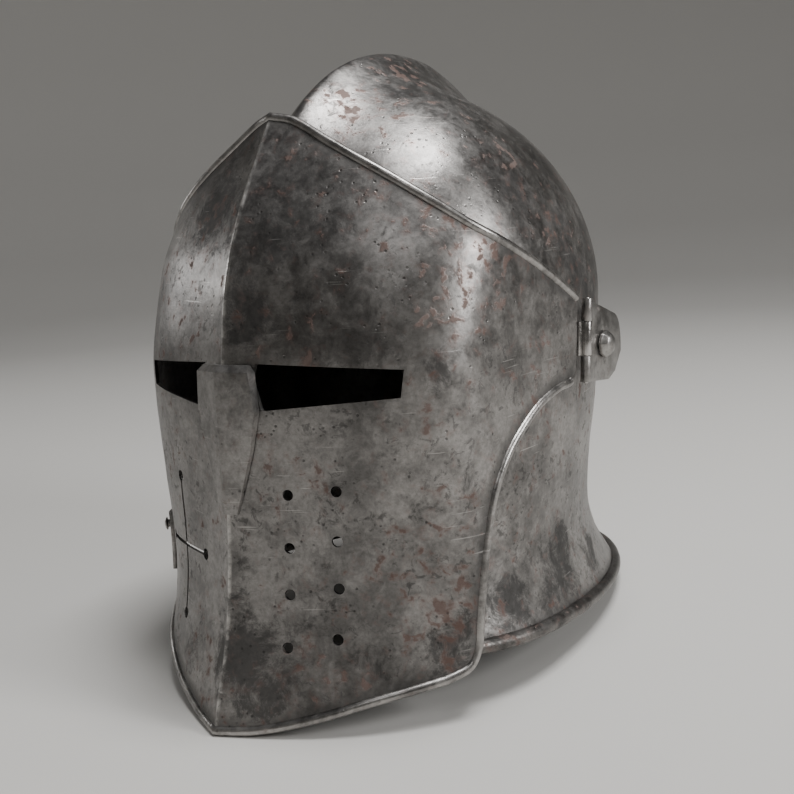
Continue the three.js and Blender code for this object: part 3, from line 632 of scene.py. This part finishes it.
if "Scale" in bar.inputs:
    roll_tree.links.new(thick.outputs[0], bar.inputs["Scale"])
real = add(roll_tree, "GeometryNodeRealizeInstances", {0: bar})
coated = add(roll_tree, "GeometryNodeSetMaterial", {0: real, "Material": given.outputs["Steel"]})
add(roll_tree, "NodeGroupOutput", {0: coated})
print("rolled-edge tree has", len(roll_tree.nodes), "nodes")

# %% [markdown]
# ## Steel: what is seen, and why
#
# The plates are plain carbon steel, beaten, ground and then used for years. Clean steel is
# a grey mirror with a soft blur. Heat and hammer scale leave dark mottling, and soot and old
# oil settle in big cloudy patches that are duller than the metal; beside the crease, along the
# skull's side and in the grooves by the rolls these dark patches are painted shade as well.
# Damp starts small brown rust spots with a pit in each. Rubbing brightens the rolled edges and
# leaves thin light scratches, and the bright line along the crease is partly rubbing and partly
# a painted highlight. Each of these is one layer below, with the size of its pattern in
# millimetres, on Object coordinates so that it stays on the steel when the visor lifts.

# %% Colours
def linear(code):
    """An sRGB hex colour as linear red, green, blue and alpha."""
    parts = [int(code[k:k + 2], 16) / 255 for k in (1, 3, 5)]
    return tuple(c / 12.92 if c <= 0.04045 else ((c + 0.055) / 1.055) ** 2.4 for c in parts) + (1.0,)


CLEAN_STEEL = "#A6A3A0"
MOTTLED_STEEL = "#6F6D6B"
SOOT_AND_SHADE = "#272625"
RUST = "#62493F"
DRY_RUST = "#86706A"
RUBBED_AND_HIGHLIGHT_STEEL = "#D2CFCB"
print("clean steel in linear light:", [round(c, 3) for c in linear(CLEAN_STEEL)])


# %% [markdown]
# ## Mottling
#
# Heat, hammer scale and grinding leave a plate cloudy: broad patches of 40 mm, broken up by
# finer ones of 9 mm and a grain of 2 mm. Image textures could show it, but noise has no seams
# and stays sharp from near by. A Mix node has its colours on inputs 6 and 7 and output 2.

# %% Mottled ground of the steel
NOISE, MATH, RANGE, MIX = "ShaderNodeTexNoise", "ShaderNodeMath", "ShaderNodeMapRange", "ShaderNodeMix"
SMOOTH = {"interpolation_type": "SMOOTHSTEP"}
COLOUR = {"data_type": "RGBA"}


def per_mm(size):
    """The texture scale of a pattern whose features are this many mm."""
    return 1000.0 / size


def mottling(tree, where, clean, mottled):
    """The ground colour, and the broad, fine and grain patterns that make it."""
    broad = add(tree, NOISE, {"Vector": where, "Scale": per_mm(40), "Detail": 4.0, "Roughness": 0.6})
    fine = add(tree, NOISE, {"Vector": where, "Scale": per_mm(9), "Detail": 8.0, "Roughness": 0.72,
                             "Distortion": 0.4})
    grain = add(tree, NOISE, {"Vector": where, "Scale": per_mm(2.2), "Detail": 4.0, "Roughness": 0.7})
    most = add(tree, MATH, {0: broad, 1: 0.55}, operation="MULTIPLY")
    rest = add(tree, MATH, {0: fine, 1: 0.45}, operation="MULTIPLY")
    both = add(tree, MATH, {0: most, 1: rest}, operation="ADD")
    blend = add(tree, RANGE, {"Value": both, "From Min": 0.38, "From Max": 0.62}, **SMOOTH)
    speckle = add(tree, RANGE, {"Value": grain, "From Min": 0.3, "From Max": 0.75, "To Max": 0.35}, **SMOOTH)
    colour = add(tree, MIX, {0: blend, 6: linear(mottled), 7: linear(clean)}, **COLOUR).outputs[2]
    colour = add(tree, MIX, {0: speckle, 6: colour, 7: linear(MOTTLED_STEEL)}, blend_type="MULTIPLY",
                 **COLOUR).outputs[2]
    return colour, broad, fine, grain


# %% [markdown]
# ## Soot, grime and painted shade
#
# Soot and old oil lie in clouds of 60 mm whose edges are eaten away by a fine crust, with small
# specks of 4 mm between them; where the soot-and-shade attribute is high the clouds also paint
# shade. Beside a rolled edge the groove is painted dark, as grime where no cloth reaches and as
# painted shade under the roll: it is full 2.5 mm from the middle of the roll and gone at 8.5 mm.
# Two vertex attributes steer it.

# %% Soot, grime and painted shade over the steel
SOOT_AND_SHADE_REACH = 0.24
GROOVE_GRIME_AND_SHADE_GONE = 0.0085
GROOVE_GRIME_AND_SHADE_FULL = 0.0025


def sooted_and_shaded(tree, where, colour, fine, soot_and_shade, edge_grime_and_shade):
    """The colour under soot, grime and painted shade, and how dark each place is made."""
    crust = add(tree, NOISE, {"Vector": where, "Scale": per_mm(16), "Detail": 12.0, "Roughness": 0.78,
                              "Distortion": 0.4})
    drift = add(tree, NOISE, {"Vector": where, "Scale": per_mm(62), "Detail": 3.0, "Roughness": 0.5,
                              "Distortion": 0.8})
    drift = add(tree, MATH, {0: drift, 1: 0.5}, operation="SUBTRACT")
    drift = add(tree, MATH, {0: drift, 1: 0.4}, operation="MULTIPLY")
    # Where the soot_and_shade attribute is high the soot clouds come through more easily, and there they
    # paint shade as well as soot.
    soot_and_shade_spots = add(tree, "ShaderNodeAttribute", attribute_name="soot_and_shade").outputs["Fac"]
    soot_and_shade_spots = add(tree, MATH, {0: soot_and_shade_spots, 1: SOOT_AND_SHADE_REACH}, operation="MULTIPLY")
    patches = add(tree, MATH, {0: crust, 1: drift}, operation="ADD")
    patches = add(tree, MATH, {0: patches, 1: soot_and_shade_spots}, operation="ADD")
    dirt_and_shade = add(tree, RANGE, {"Value": patches, "From Min": 0.56, "From Max": 0.72, "To Max": 0.74 * soot_and_shade},
                **SMOOTH)
    specks = add(tree, NOISE, {"Vector": where, "Scale": per_mm(4.5), "Detail": 8.0, "Roughness": 0.7,
                               "Distortion": 0.6})
    specks = add(tree, RANGE, {"Value": specks, "From Min": 0.53, "From Max": 0.62}, **SMOOTH)
    flocks = add(tree, NOISE, {"Vector": where, "Scale": per_mm(26), "Detail": 3.0, "Roughness": 0.6})
    flocks = add(tree, RANGE, {"Value": flocks, "From Min": 0.42, "From Max": 0.58}, **SMOOTH)
    specks = add(tree, MATH, {0: specks, 1: flocks}, operation="MULTIPLY")
    specks = add(tree, MATH, {0: specks, 1: 0.5 * soot_and_shade}, operation="MULTIPLY")
    dirt_and_shade = add(tree, MATH, {0: dirt_and_shade, 1: specks}, operation="MAXIMUM")
    # The groove beside a rolled edge is painted dark: grime, and painted shade under the roll.
    if edge_grime_and_shade:
        distance = add(tree, "ShaderNodeAttribute", attribute_name="from_edge").outputs["Fac"]
        near = add(tree, RANGE, {"Value": distance, "From Min": GROOVE_GRIME_AND_SHADE_GONE, "From Max": GROOVE_GRIME_AND_SHADE_FULL}, **SMOOTH)
        broken = add(tree, RANGE, {"Value": fine, "From Min": 0.25, "From Max": 0.6, "To Min": 0.35},
                     **SMOOTH)
        groove_grime_and_shade = add(tree, MATH, {0: near, 1: broken}, operation="MULTIPLY")
        groove_grime_and_shade = add(tree, MATH, {0: groove_grime_and_shade, 1: 0.6}, operation="MULTIPLY")
        dirt_and_shade = add(tree, MATH, {0: dirt_and_shade, 1: groove_grime_and_shade}, operation="MAXIMUM")
    colour = add(tree, MIX, {0: dirt_and_shade, 6: colour, 7: linear(SOOT_AND_SHADE)}, **COLOUR).outputs[2]
    return colour, dirt_and_shade


# %% [markdown]
# ## Rust and pits
#
# Damp starts rust in loose families of spots, 3 to 6 mm across, each with a paler stain round
# it. Where rust has been cleaned off, pinholes stay, about 1 mm wide and dark inside. Noise is
# right for the spots, and Voronoi cells for the pinholes, because those are round and apart.

# %% Rust and pits in the steel
RUST_REACH = 0.13


def rusted(tree, where, colour, rust):
    """The colour under rust, and how rusty each place is."""
    family = add(tree, NOISE, {"Vector": where, "Scale": per_mm(34), "Detail": 3.0, "Roughness": 0.6,
                               "Distortion": 0.5})
    family = add(tree, MATH, {0: family, 1: 0.5}, operation="SUBTRACT")
    family = add(tree, MATH, {0: family, 1: 0.3}, operation="MULTIPLY")
    rusty = add(tree, "ShaderNodeAttribute", attribute_name="rust").outputs["Fac"]
    rusty = add(tree, MATH, {0: rusty, 1: RUST_REACH}, operation="MULTIPLY")
    family = add(tree, MATH, {0: family, 1: rusty}, operation="ADD")
    blots = add(tree, NOISE, {"Vector": where, "Scale": per_mm(6), "Detail": 4.0, "Roughness": 0.55,
                              "Distortion": 0.25})
    blots = add(tree, MATH, {0: blots, 1: family}, operation="ADD")
    spot = add(tree, RANGE, {"Value": blots, "From Min": 0.63, "From Max": 0.71}, **SMOOTH)
    stain = add(tree, RANGE, {"Value": blots, "From Min": 0.52, "From Max": 0.7, "To Max": 0.35 * rust},
                **SMOOTH)
    cover = add(tree, MATH, {0: spot, 1: 0.55 * rust}, operation="MULTIPLY")
    colour = add(tree, MIX, {0: stain, 6: colour, 7: linear(DRY_RUST)}, **COLOUR).outputs[2]
    colour = add(tree, MIX, {0: cover, 6: colour, 7: linear(RUST)}, **COLOUR).outputs[2]
    return colour, spot


def pitted(tree, where, colour):
    """The colour with pinholes, and how deep each place is in one."""
    holes = add(tree, "ShaderNodeTexVoronoi", {"Vector": where, "Scale": per_mm(3.4), "Randomness": 1.0},
                feature="F1").outputs["Distance"]
    holes = add(tree, RANGE, {"Value": holes, "From Min": 0.24, "From Max": 0.1}, **SMOOTH)
    fields = add(tree, NOISE, {"Vector": where, "Scale": per_mm(15), "Detail": 3.0, "Roughness": 0.6})
    fields = add(tree, RANGE, {"Value": fields, "From Min": 0.48, "From Max": 0.62}, **SMOOTH)
    pit = add(tree, MATH, {0: holes, 1: fields}, operation="MULTIPLY")
    cover = add(tree, MATH, {0: pit, 1: 0.6}, operation="MULTIPLY")
    colour = add(tree, MIX, {0: cover, 6: colour, 7: linear(SOOT_AND_SHADE)}, **COLOUR).outputs[2]
    return colour, pit


# %% [markdown]
# ## Scratches, rubbed places and a painted crease highlight
#
# Blows and cleaning leave thin light scratches, 20 to 40 mm long, and rubbing brightens the
# rolls. A narrow bright line along the crease is partly rubbing and partly a painted highlight
# of the ridge. Noise stretched in two directions gives lines on a sheet that faces any way. Real
# hair scratches are thinner, but those wouldn't show.

# %% Scratches, rubbing and the painted crease highlight
SCRATCHES = [((0.3, 0.5, 0.6), 32, 0.45), ((1.1, -0.4, 2.0), 22, 0.38), ((0.2, 1.2, -0.9), 40, 0.55)]
SCRATCH_SPREAD = 3
CREASE_HIGHLIGHT_EDGE = 0.0016
CREASE_HIGHLIGHT_CORE = 0.0003


def scratched(tree, where, colour):
    """The colour with scratches, and how scratched each place is."""
    lines = []
    for turn, long, thin in SCRATCHES:
        scale = (per_mm(long), per_mm(long), per_mm(thin * SCRATCH_SPREAD))
        stretched = add(tree, "ShaderNodeMapping", {"Vector": where, "Rotation": turn, "Scale": scale})
        streak = add(tree, NOISE, {"Vector": stretched, "Scale": 1.0, "Detail": 1.0})
        lines.append(add(tree, RANGE, {"Value": streak, "From Min": 0.735, "From Max": 0.775}, **SMOOTH))
    every = add(tree, MATH, {0: lines[0], 1: lines[1]}, operation="MAXIMUM")
    every = add(tree, MATH, {0: every, 1: lines[2]}, operation="MAXIMUM")
    fields = add(tree, NOISE, {"Vector": where, "Scale": per_mm(28), "Detail": 3.0, "Roughness": 0.6})
    fields = add(tree, RANGE, {"Value": fields, "From Min": 0.45, "From Max": 0.65, "To Max": 0.6}, **SMOOTH)
    scratch = add(tree, MATH, {0: every, 1: fields}, operation="MULTIPLY")
    cover = add(tree, MATH, {0: scratch, 1: 0.7}, operation="MULTIPLY")
    colour = add(tree, MIX, {0: cover, 6: colour, 7: linear(RUBBED_AND_HIGHLIGHT_STEEL)}, **COLOUR).outputs[2]
    return colour, scratch


def rubbed_and_highlit(tree, where, colour, fine, rubbed, crease_highlight):
    """The colour where rubbed, with a painted highlight along the crease, and how bright each place is."""
    bright = add(tree, RANGE, {"Value": fine, "From Min": 0.35, "From Max": 0.65, "To Min": 0.25}, **SMOOTH)
    bright = add(tree, MATH, {0: bright, 1: rubbed}, operation="MULTIPLY")
    # A bright line along the crease: partly rubbing, partly a painted highlight of the ridge.
    if crease_highlight:
        across = add(tree, "ShaderNodeSeparateXYZ", {0: where})
        across = add(tree, MATH, {0: across, 1: 0.0}, operation="ABSOLUTE")
        ridge_highlight = add(tree, RANGE, {"Value": across, "From Min": CREASE_HIGHLIGHT_EDGE, "From Max": CREASE_HIGHLIGHT_CORE},
                    **SMOOTH)
        ridge_breakup = add(tree, NOISE, {"Vector": where, "Scale": per_mm(7), "Detail": 4.0, "Roughness": 0.6})
        ridge_breakup = add(tree, RANGE, {"Value": ridge_breakup, "From Min": 0.42, "From Max": 0.6, "To Min": 0.1,
                                 "To Max": 0.8}, **SMOOTH)
        ridge_highlight = add(tree, MATH, {0: ridge_highlight, 1: ridge_breakup}, operation="MULTIPLY")
        bright = add(tree, MATH, {0: bright, 1: ridge_highlight}, operation="MAXIMUM")
    colour = add(tree, MIX, {0: bright, 6: colour, 7: linear(RUBBED_AND_HIGHLIGHT_STEEL)}, **COLOUR).outputs[2]
    return colour, bright


# %% [markdown]
# ## Gloss and relief
#
# Dirt and rust are duller than steel, and rubbed places a little glossier. The same patterns
# also stand high or low by a tenth of a millimetre or less. Real displacement would need far
# finer meshes, so a Bump node does it, in which a height of 1 stands for 0.4 mm.

# %% Gloss and relief of the layers
RELIEF = 0.0004
RELIEF_SHARES = {"fine": 0.35, "grain": 0.2, "broad": 0.8, "pit": 0.55, "rust": 0.25, "scratch": 0.22}


def gloss(tree, rough, fine, dull, scratch, bright):
    """Roughness from how dull and how bright each place is."""
    swing = add(tree, MATH, {0: fine, 1: 0.5}, operation="SUBTRACT")
    swing = add(tree, MATH, {0: swing, 1: 0.35}, operation="MULTIPLY")
    total = add(tree, MATH, {0: rough, 1: swing}, operation="ADD")
    duller = add(tree, MATH, {0: dull, 1: 0.26}, operation="MULTIPLY")
    total = add(tree, MATH, {0: total, 1: duller}, operation="ADD")
    glossier = add(tree, MATH, {0: scratch, 1: bright}, operation="MAXIMUM")
    glossier = add(tree, MATH, {0: glossier, 1: 0.08}, operation="MULTIPLY")
    return add(tree, MATH, {0: total, 1: glossier}, operation="SUBTRACT", use_clamp=True)


def relief(tree, rust, broad, fine, grain, pit, spot, scratch):
    """The bump of every pattern together."""
    height = add(tree, MATH, {0: fine, 1: RELIEF_SHARES["fine"]}, operation="MULTIPLY")
    for pattern, part_of, sign in ((grain, RELIEF_SHARES["grain"], "ADD"),
                                   (broad, RELIEF_SHARES["broad"], "ADD"),
                                   (pit, RELIEF_SHARES["pit"], "SUBTRACT"),
                                   (spot, RELIEF_SHARES["rust"] * rust, "ADD"),
                                   (scratch, RELIEF_SHARES["scratch"], "SUBTRACT")):
        layer = add(tree, MATH, {0: pattern, 1: part_of}, operation="MULTIPLY")
        height = add(tree, MATH, {0: height, 1: layer}, operation=sign)
    return add(tree, "ShaderNodeBump", {"Strength": 0.55, "Distance": RELIEF, "Height": height})


# %% Worn steel
def worn_steel(name, soot_and_shade=1.0, rust=1.0, rubbed=0.0, rough=0.37, clean=CLEAN_STEEL, mottled=MOTTLED_STEEL,
               edge_grime_and_shade=False, crease_highlight=False):
    """Plate steel with every layer, in the order in which they came onto it."""
    steel = bpy.data.materials.new(name)
    steel.use_nodes = True
    tree = steel.node_tree
    tree.nodes.clear()
    where = add(tree, "ShaderNodeTexCoord").outputs["Object"]
    colour, broad, fine, grain = mottling(tree, where, clean, mottled)
    colour, dirt_and_shade = sooted_and_shaded(tree, where, colour, fine, soot_and_shade, edge_grime_and_shade)
    colour, spot = rusted(tree, where, colour, rust)
    colour, pit = pitted(tree, where, colour)
    colour, scratch = scratched(tree, where, colour)
    colour, bright = rubbed_and_highlit(tree, where, colour, fine, rubbed, crease_highlight)
    dull = add(tree, MATH, {0: dirt_and_shade, 1: spot}, operation="MAXIMUM")
    metallic = add(tree, RANGE, {"Value": dull, "From Min": 0.2, "From Max": 1.0, "To Min": 1.0,
                                 "To Max": 0.72}, **SMOOTH)
    metal = add(tree, "ShaderNodeBsdfPrincipled", {
        "Base Color": colour, "Roughness": gloss(tree, rough, fine, dull, scratch, bright),
        "Metallic": metallic, "Normal": relief(tree, rust, broad, fine, grain, pit, spot, scratch)})
    add(tree, "ShaderNodeOutputMaterial", {"Surface": metal})
    return steel


# %% [markdown]
# ## One steel, eight finishes
#
# All pieces are the same metal, so one recipe serves them all. What differs is the care each
# got: the plates are ground, the rolls are rubbed by hands, the fittings are filed, the hinge
# barrels are turned, and the inside is left black from the fire. The neck roll's steel is darker
# than the other rolls': painted shade for a roll that faces down.

# %% The finishes
hammered_plate = worn_steel("hammered_plate_steel", edge_grime_and_shade=True)
visor_steel = worn_steel("ground_visor_steel", edge_grime_and_shade=True, crease_highlight=True)
bridge_steel = worn_steel("filed_bridge_steel", soot_and_shade=0.5, rust=0.4, rubbed=0.08, rough=0.42)
lining_side = worn_steel("black_inside_steel", soot_and_shade=1.3, rust=1.4, rough=0.5, clean="#5C5955",
                         mottled="#3C3937")
rolled_steel = worn_steel("rubbed_rolled_edge_steel", soot_and_shade=0.6, rust=0.5, rubbed=0.28, rough=0.34)
# Darker clean and mottled colours: painted shade on the neck roll, which faces down.
rim_steel_painted_shade = worn_steel("neck_roll_steel_painted_shade", soot_and_shade=1.0, rust=0.8, rubbed=0.08, rough=0.4, clean="#7F7C79",
                       mottled="#504E4C")
forged_steel = worn_steel("forged_fitting_steel", soot_and_shade=0.6, rust=0.5, rubbed=0.25, rough=0.36)
bright_barrel = worn_steel("turned_hinge_steel", soot_and_shade=0.25, rust=0.35, rubbed=0.6, rough=0.3)
print("materials:", [m.name for m in bpy.data.materials if m.use_nodes])

# %% [markdown]
# ## Where the soot, painted shade and rust lie
#
# Dirt is never even. Hands and a lamp leave soot on the brow beside the crease and low on the
# prow, and the same dark patches there and along the skull's side also paint the shade that lies
# on those places. Damp gathers rust where the cheek turns under and behind the temples. Each
# place is given in the drawing with its reach in mm. It is stored on the vertices, and the steel
# reads it to let its noise through more easily there.

# %% Soot-and-shade spots and rust spots
def mark_spots(piece, name, spots):
    """Stores on each vertex how strongly the spots reach it."""
    where = np.array([v.co for v in piece.data.vertices])
    strength = np.zeros(len(where))
    for place, reach, amount in spots:
        away = np.linalg.norm(where - on_table(place), axis=1) * 1000 / reach
        strength = np.maximum(strength, amount * np.exp(-(away**2)))
    layer = piece.data.attributes.new(name, "FLOAT", "POINT")
    layer.data.foreach_set("value", strength)
    print(piece.name, name, "reaches", int((strength > 0.3).sum()), "vertices")


# Soot-and-shade spots on the visor: beside the crease on the brow and low on the prow they are soot and also
# painted shade.
mark_spots(visor, "soot_and_shade", [((19, 16, 69), 26, 1.0), ((14, 7, 48), 22, 1.0), ((33, 8, 26), 14, 0.5),
                        ((12, 1, 22), 16, 1.0), ((8, -1, -125), 20, 1.0), ((18, -1, -141), 18, 0.8),
                        ((48, 17, 43), 16, 0.35), ((22, 23, 82), 20, 0.8), ((-24, 17, 68), 22, 0.9),
                        ((83, 31, -6), 12, 0.6), ((84, 45, -118), 16, 0.8), ((-36, 8, -137), 18, 0.6)])
mark_spots(visor, "rust", [((81, 41, 53), 16, 1.0), ((95, 59, 41), 16, 1.0), ((92, 47, 24), 18, 1.0),
                        ((86, 46, -105), 20, 1.0), ((79, 38, -96), 14, 0.8), ((41, 11, -135), 18, 0.7),
                        ((100, 95, 4), 14, 0.6)])
# Soot-and-shade spots on the skull: along its side and low on the neck they are soot and also painted shade.
mark_spots(skull, "soot_and_shade", [((94, 128, 61), 22, 1.0), ((95, 148, 47), 20, 1.0), ((94, 163, 28), 20, 0.8),
                        ((86, 102, 77), 16, 0.8), ((92, 85, -110), 14, 0.8), ((95, 131, -101), 22, 0.6),
                        ((93, 173, -110), 18, 0.6)])
mark_spots(skull, "rust", [((17, 63, 117), 14, 1.0), ((17, 104, 139), 16, 0.8), ((93, 113, 60), 12, 0.9),
                        ((74, 103, 97), 16, 0.8)])

# %% [markdown]
# ## Where the rolls run
#
# One roll goes round the neck from one side of the face opening to the other. The visor has two,
# one over the brow and one round the cheeks and chin, and both end near the hinges. Tracing the
# edges by hand would drift off them, so each path reads the same rule as the sheet it closes.

# %% Paths of the three rolls
skull_path = skull_ring(RIM_Z, half_width(RIM_Z), SKULL_FRONT_Y, skull_back(RIM_Z))
skull_path = np.roll(skull_path, SECTORS // 4, axis=0)
skull_path = skull_path[(np.abs(skull_path[:, 0]) > FACE_HALF_WIDTH) | (skull_path[:, 1] > FACE_BACK_Y)]

ROLL_END_ANGLE = 94
ROLL_START_Z = -10.8
TOP_POINTS = 161
REAR_POINTS = 120
LOW_POINTS = 40
angles = np.linspace(-ROLL_END_ANGLE, ROLL_END_ANGLE, TOP_POINTS)
top_path = visor_point(angles, top_edge(np.abs(angles)), -VISOR_PLATE / 2)

rear = along(REAR_EDGE, np.linspace(0, 1, REAR_POINTS))
rear = rear[(rear[:, 0] <= ROLL_END_ANGLE) & (rear[:, 1] < ROLL_START_Z)]
low_angles = np.linspace(REAR_EDGE[-1][0], 0, LOW_POINTS)[1:]
half = np.vstack([rear, np.stack([low_angles, bottom_edge(low_angles)], -1)])
right = visor_point(half[:, 0], half[:, 1], -VISOR_PLATE / 2)
lower_path = np.vstack([right, right[-2::-1] * [-1, 1, 1]])
print("points along the rolls:", len(skull_path), len(top_path), len(lower_path))


# %% The three rolls
def rolled(name, path, radius, steel):
    """A rolled edge along a path, made by the tree, baked, and worn flat where it stands."""
    mesh = bpy.data.meshes.new(name)
    mesh.from_pydata(on_table(path).tolist(), [(k, k + 1) for k in range(len(path) - 1)], [])
    piece = bpy.data.objects.new(name, mesh)
    bpy.context.collection.objects.link(piece)
    roller = piece.modifiers.new("roll", "NODES")
    roller.node_group = roll_tree
    roller[roll_inputs["Radius"]] = radius / 1000
    roller[roll_inputs["Steel"]] = steel
    settle(piece, sharp=60)
    for vertex in piece.data.vertices:
        vertex.co.z = max(vertex.co.z, 0.0)
    print(name, "has", len(piece.data.polygons), "faces")
    return piece


skull_roll = rolled("skull_rolled_edge", skull_path, SKULL_ROLL, rim_steel_painted_shade)
top_roll = rolled("visor_top_rolled_edge", top_path, VISOR_ROLL, rolled_steel)
lower_roll = rolled("visor_lower_rolled_edge", lower_path, VISOR_ROLL, rolled_steel)
mark_distance(skull, skull_path)
mark_distance(visor, np.vstack([top_path, lower_path]))
for piece, steel in ((skull, hammered_plate), (visor, visor_steel)):
    piece.data.materials.clear()
    piece.data.materials.append(steel)
    piece.data.materials.append(lining_side)

# %% [markdown]
# ## Fittings
#
# The hinges, bolts, catch and the block between the sights are forged and filed. Their CAD
# solids already have the right shape, but a filed piece has no knife-sharp edge. A copy of each
# is welded into one skin, its flat faces are merged, and a narrow bevel of a few tenths of
# a millimetre catches the light along every edge.

# %% Bevelled copies of the CAD fittings
def filed(node, body, steel, width=0.35, sharp=30):
    """A copy of a CAD node with narrow bevels, standing in for it."""
    source = frame["nodes"][node]
    piece = bpy.data.objects.new(node + "_filed", source.data.copy())
    bpy.context.collection.objects.link(piece)
    skin = bmesh.new()
    skin.from_mesh(piece.data)
    bmesh.ops.remove_doubles(skin, verts=skin.verts, dist=2e-6)
    bmesh.ops.dissolve_limit(skin, angle_limit=0.6 * DEG, verts=skin.verts, edges=skin.edges)
    skin.to_mesh(piece.data)
    skin.free()
    bevel = piece.modifiers.new("filed edge", "BEVEL")
    bevel.width = width / 1000
    bevel.segments = 2
    bevel.limit_method = "ANGLE"
    bevel.angle_limit = sharp * DEG
    settle(piece, sharp=sharp)
    piece.data.materials.clear()
    piece.data.materials.append(steel)
    piece.data.polygons.foreach_set("material_index", np.zeros(len(piece.data.polygons), np.int32))
    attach(piece, body)
    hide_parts(node)
    return piece


bodies = frame["record"]["behaviour"]["bodies"]
skull_body = visor_joint["parent"]
visor_body = visor_joint["child"]
fittings = []
for body, nodes in bodies.items():
    for node in nodes:
        if node in ("skull", "visor", "nasal_bridge"):
            continue
        steel = bright_barrel if "pin" in node or "leaf" in node else forged_steel
        fittings.append(filed(node, body, steel, sharp=31))
print("fittings:", [piece.name for piece in fittings])

nasal = filed("nasal_bridge", visor_body, bridge_steel, width=0.6, sharp=12)

# %% [markdown]
# ## What moves with what
#
# Each piece is parented to the body of the CAD model it rides on, and the CAD node it stands in for is
# hidden.
# The skull plate and its roll stay put. The visor plate, its two rolls and its fittings lift.

# %% Riding and replacing of the plates and rolls
for piece, body, node in ((skull, skull_body, "skull"), (skull_roll, skull_body, "skull"),
                          (visor, visor_body, "visor"), (top_roll, visor_body, "visor"),
                          (lower_roll, visor_body, "visor")):
    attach(piece, body)
    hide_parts(node)
    print(piece.name, "rides on", body)

# %% [markdown]
# ## The studio bowl
#
# The helmet stands in a pale bowl: a floor that curves up into a wall, so no line crosses
# behind it. Two planes would do for the floor and wall, but their corner would show in the
# metal.

# %% Studio bowl
BOWL = [(0, 0), (1.6, 0), (2.1, 0.03), (2.6, 0.16), (3.0, 0.42), (3.25, 0.8), (3.35, 1.3), (3.35, 3.2)]
TURNS = 96
bowl_points, bowl_faces = [(0, 0, 0)], []
for r, z in BOWL[1:]:
    bowl_points += [(r * math.cos(t), r * math.sin(t), z) for t in np.arange(TURNS) * 2 * math.pi / TURNS]
for k in range(TURNS):
    n = (k + 1) % TURNS
    bowl_faces.append([0, 1 + k, 1 + n])
    for level in range(len(BOWL) - 2):
        a = 1 + level * TURNS
        bowl_faces.append([a + k, a + TURNS + k, a + TURNS + n, a + n])
bowl_mesh = bpy.data.meshes.new("studio_bowl")
bowl_mesh.from_pydata(bowl_points, [], bowl_faces)
bowl_mesh.shade_smooth()
bowl = bpy.data.objects.new("studio_bowl", bowl_mesh)
bpy.context.collection.objects.link(bowl)
paint = bpy.data.materials.new("matt_studio_paint")
paint.use_nodes = True
paint.node_tree.nodes["Principled BSDF"].inputs["Base Color"].default_value = linear("#D2D0CC")
paint.node_tree.nodes["Principled BSDF"].inputs["Roughness"].default_value = 0.85
bowl_mesh.materials.append(paint)
print("bowl faces:", len(bowl_mesh.polygons))

# %% [markdown]
# ## Lights
#
# Metal shows what surrounds it, so the lights are soft panels and not points: one at each side
# for the bright patches on the brow and beside the crease, one overhead for the crown, and
# a weak one in front. The air of the room adds a little light from everywhere.

# %% Light panels
AIR_LIGHT = 0.12
TARGET = Vector((0, 0, 0.17))


def panel(name, azimuth, elevation, distance, width, height, power):
    """A soft light panel that faces the helmet. Azimuth 0 is in front, 90 on the wearer's left."""
    a, e = azimuth * DEG, elevation * DEG
    towards = Vector((math.sin(a) * math.cos(e), -math.cos(a) * math.cos(e), math.sin(e)))
    light = bpy.data.lights.new(name, "AREA")
    light.shape = "RECTANGLE"
    light.size, light.size_y, light.energy = width, height, power
    lamp = bpy.data.objects.new(name, light)
    aim = towards.to_track_quat("Z", "Y").to_matrix().to_4x4()
    lamp.matrix_world = Matrix.Translation(TARGET + towards * distance) @ aim
    bpy.context.collection.objects.link(lamp)
    print(name, "gives", power, "W")


panel("left_panel", 99, 22, 1.5, 0.42, 0.6, 13)
panel("right_panel", -84, 12, 1.6, 0.14, 0.3, 1.5)
panel("overhead_panel", 100, 78, 1.6, 0.6, 0.6, 27)
panel("front_panel", 28, 42, 1.9, 0.8, 0.5, 2.6)
world = bpy.data.worlds.new("studio_air")
world.use_nodes = True
world.node_tree.nodes["Background"].inputs["Color"].default_value = linear("#C9C9CC")
world.node_tree.nodes["Background"].inputs["Strength"].default_value = AIR_LIGHT
bpy.context.scene.world = world

# %% [markdown]
# ## Camera
#
# The camera stands near, about 0.4 m from the brow on the wearer's left, and looks a little
# down. Its place is given in the drawing like every other, so it leans back with the helmet.

# %% Camera
CAMERA_DRAWING = (295.4, -295.9, 20.1)
CAMERA_AZIMUTH = 35
CAMERA_PITCH = 4.89
FIELD = 45.0

a, e = CAMERA_AZIMUTH * DEG, CAMERA_PITCH * DEG
back = turn_back @ np.array([math.sin(a) * math.cos(e), -math.cos(a) * math.cos(e), math.sin(e)])
sideways = turn_back @ np.array([math.cos(a), math.sin(a), 0])
upwards = np.cross(back, sideways)
camera_data = bpy.data.cameras.new("camera")
camera_data.angle = FIELD * DEG
camera_data.clip_start = 0.01
camera = bpy.data.objects.new("camera", camera_data)
pose = Matrix(np.stack([sideways, upwards, back], 1).tolist()).to_4x4()
pose.translation = Vector(on_table(CAMERA_DRAWING))
camera.matrix_world = pose
bpy.context.collection.objects.link(camera)
bpy.context.scene.camera = camera
print("camera at", [round(c, 4) for c in pose.translation])
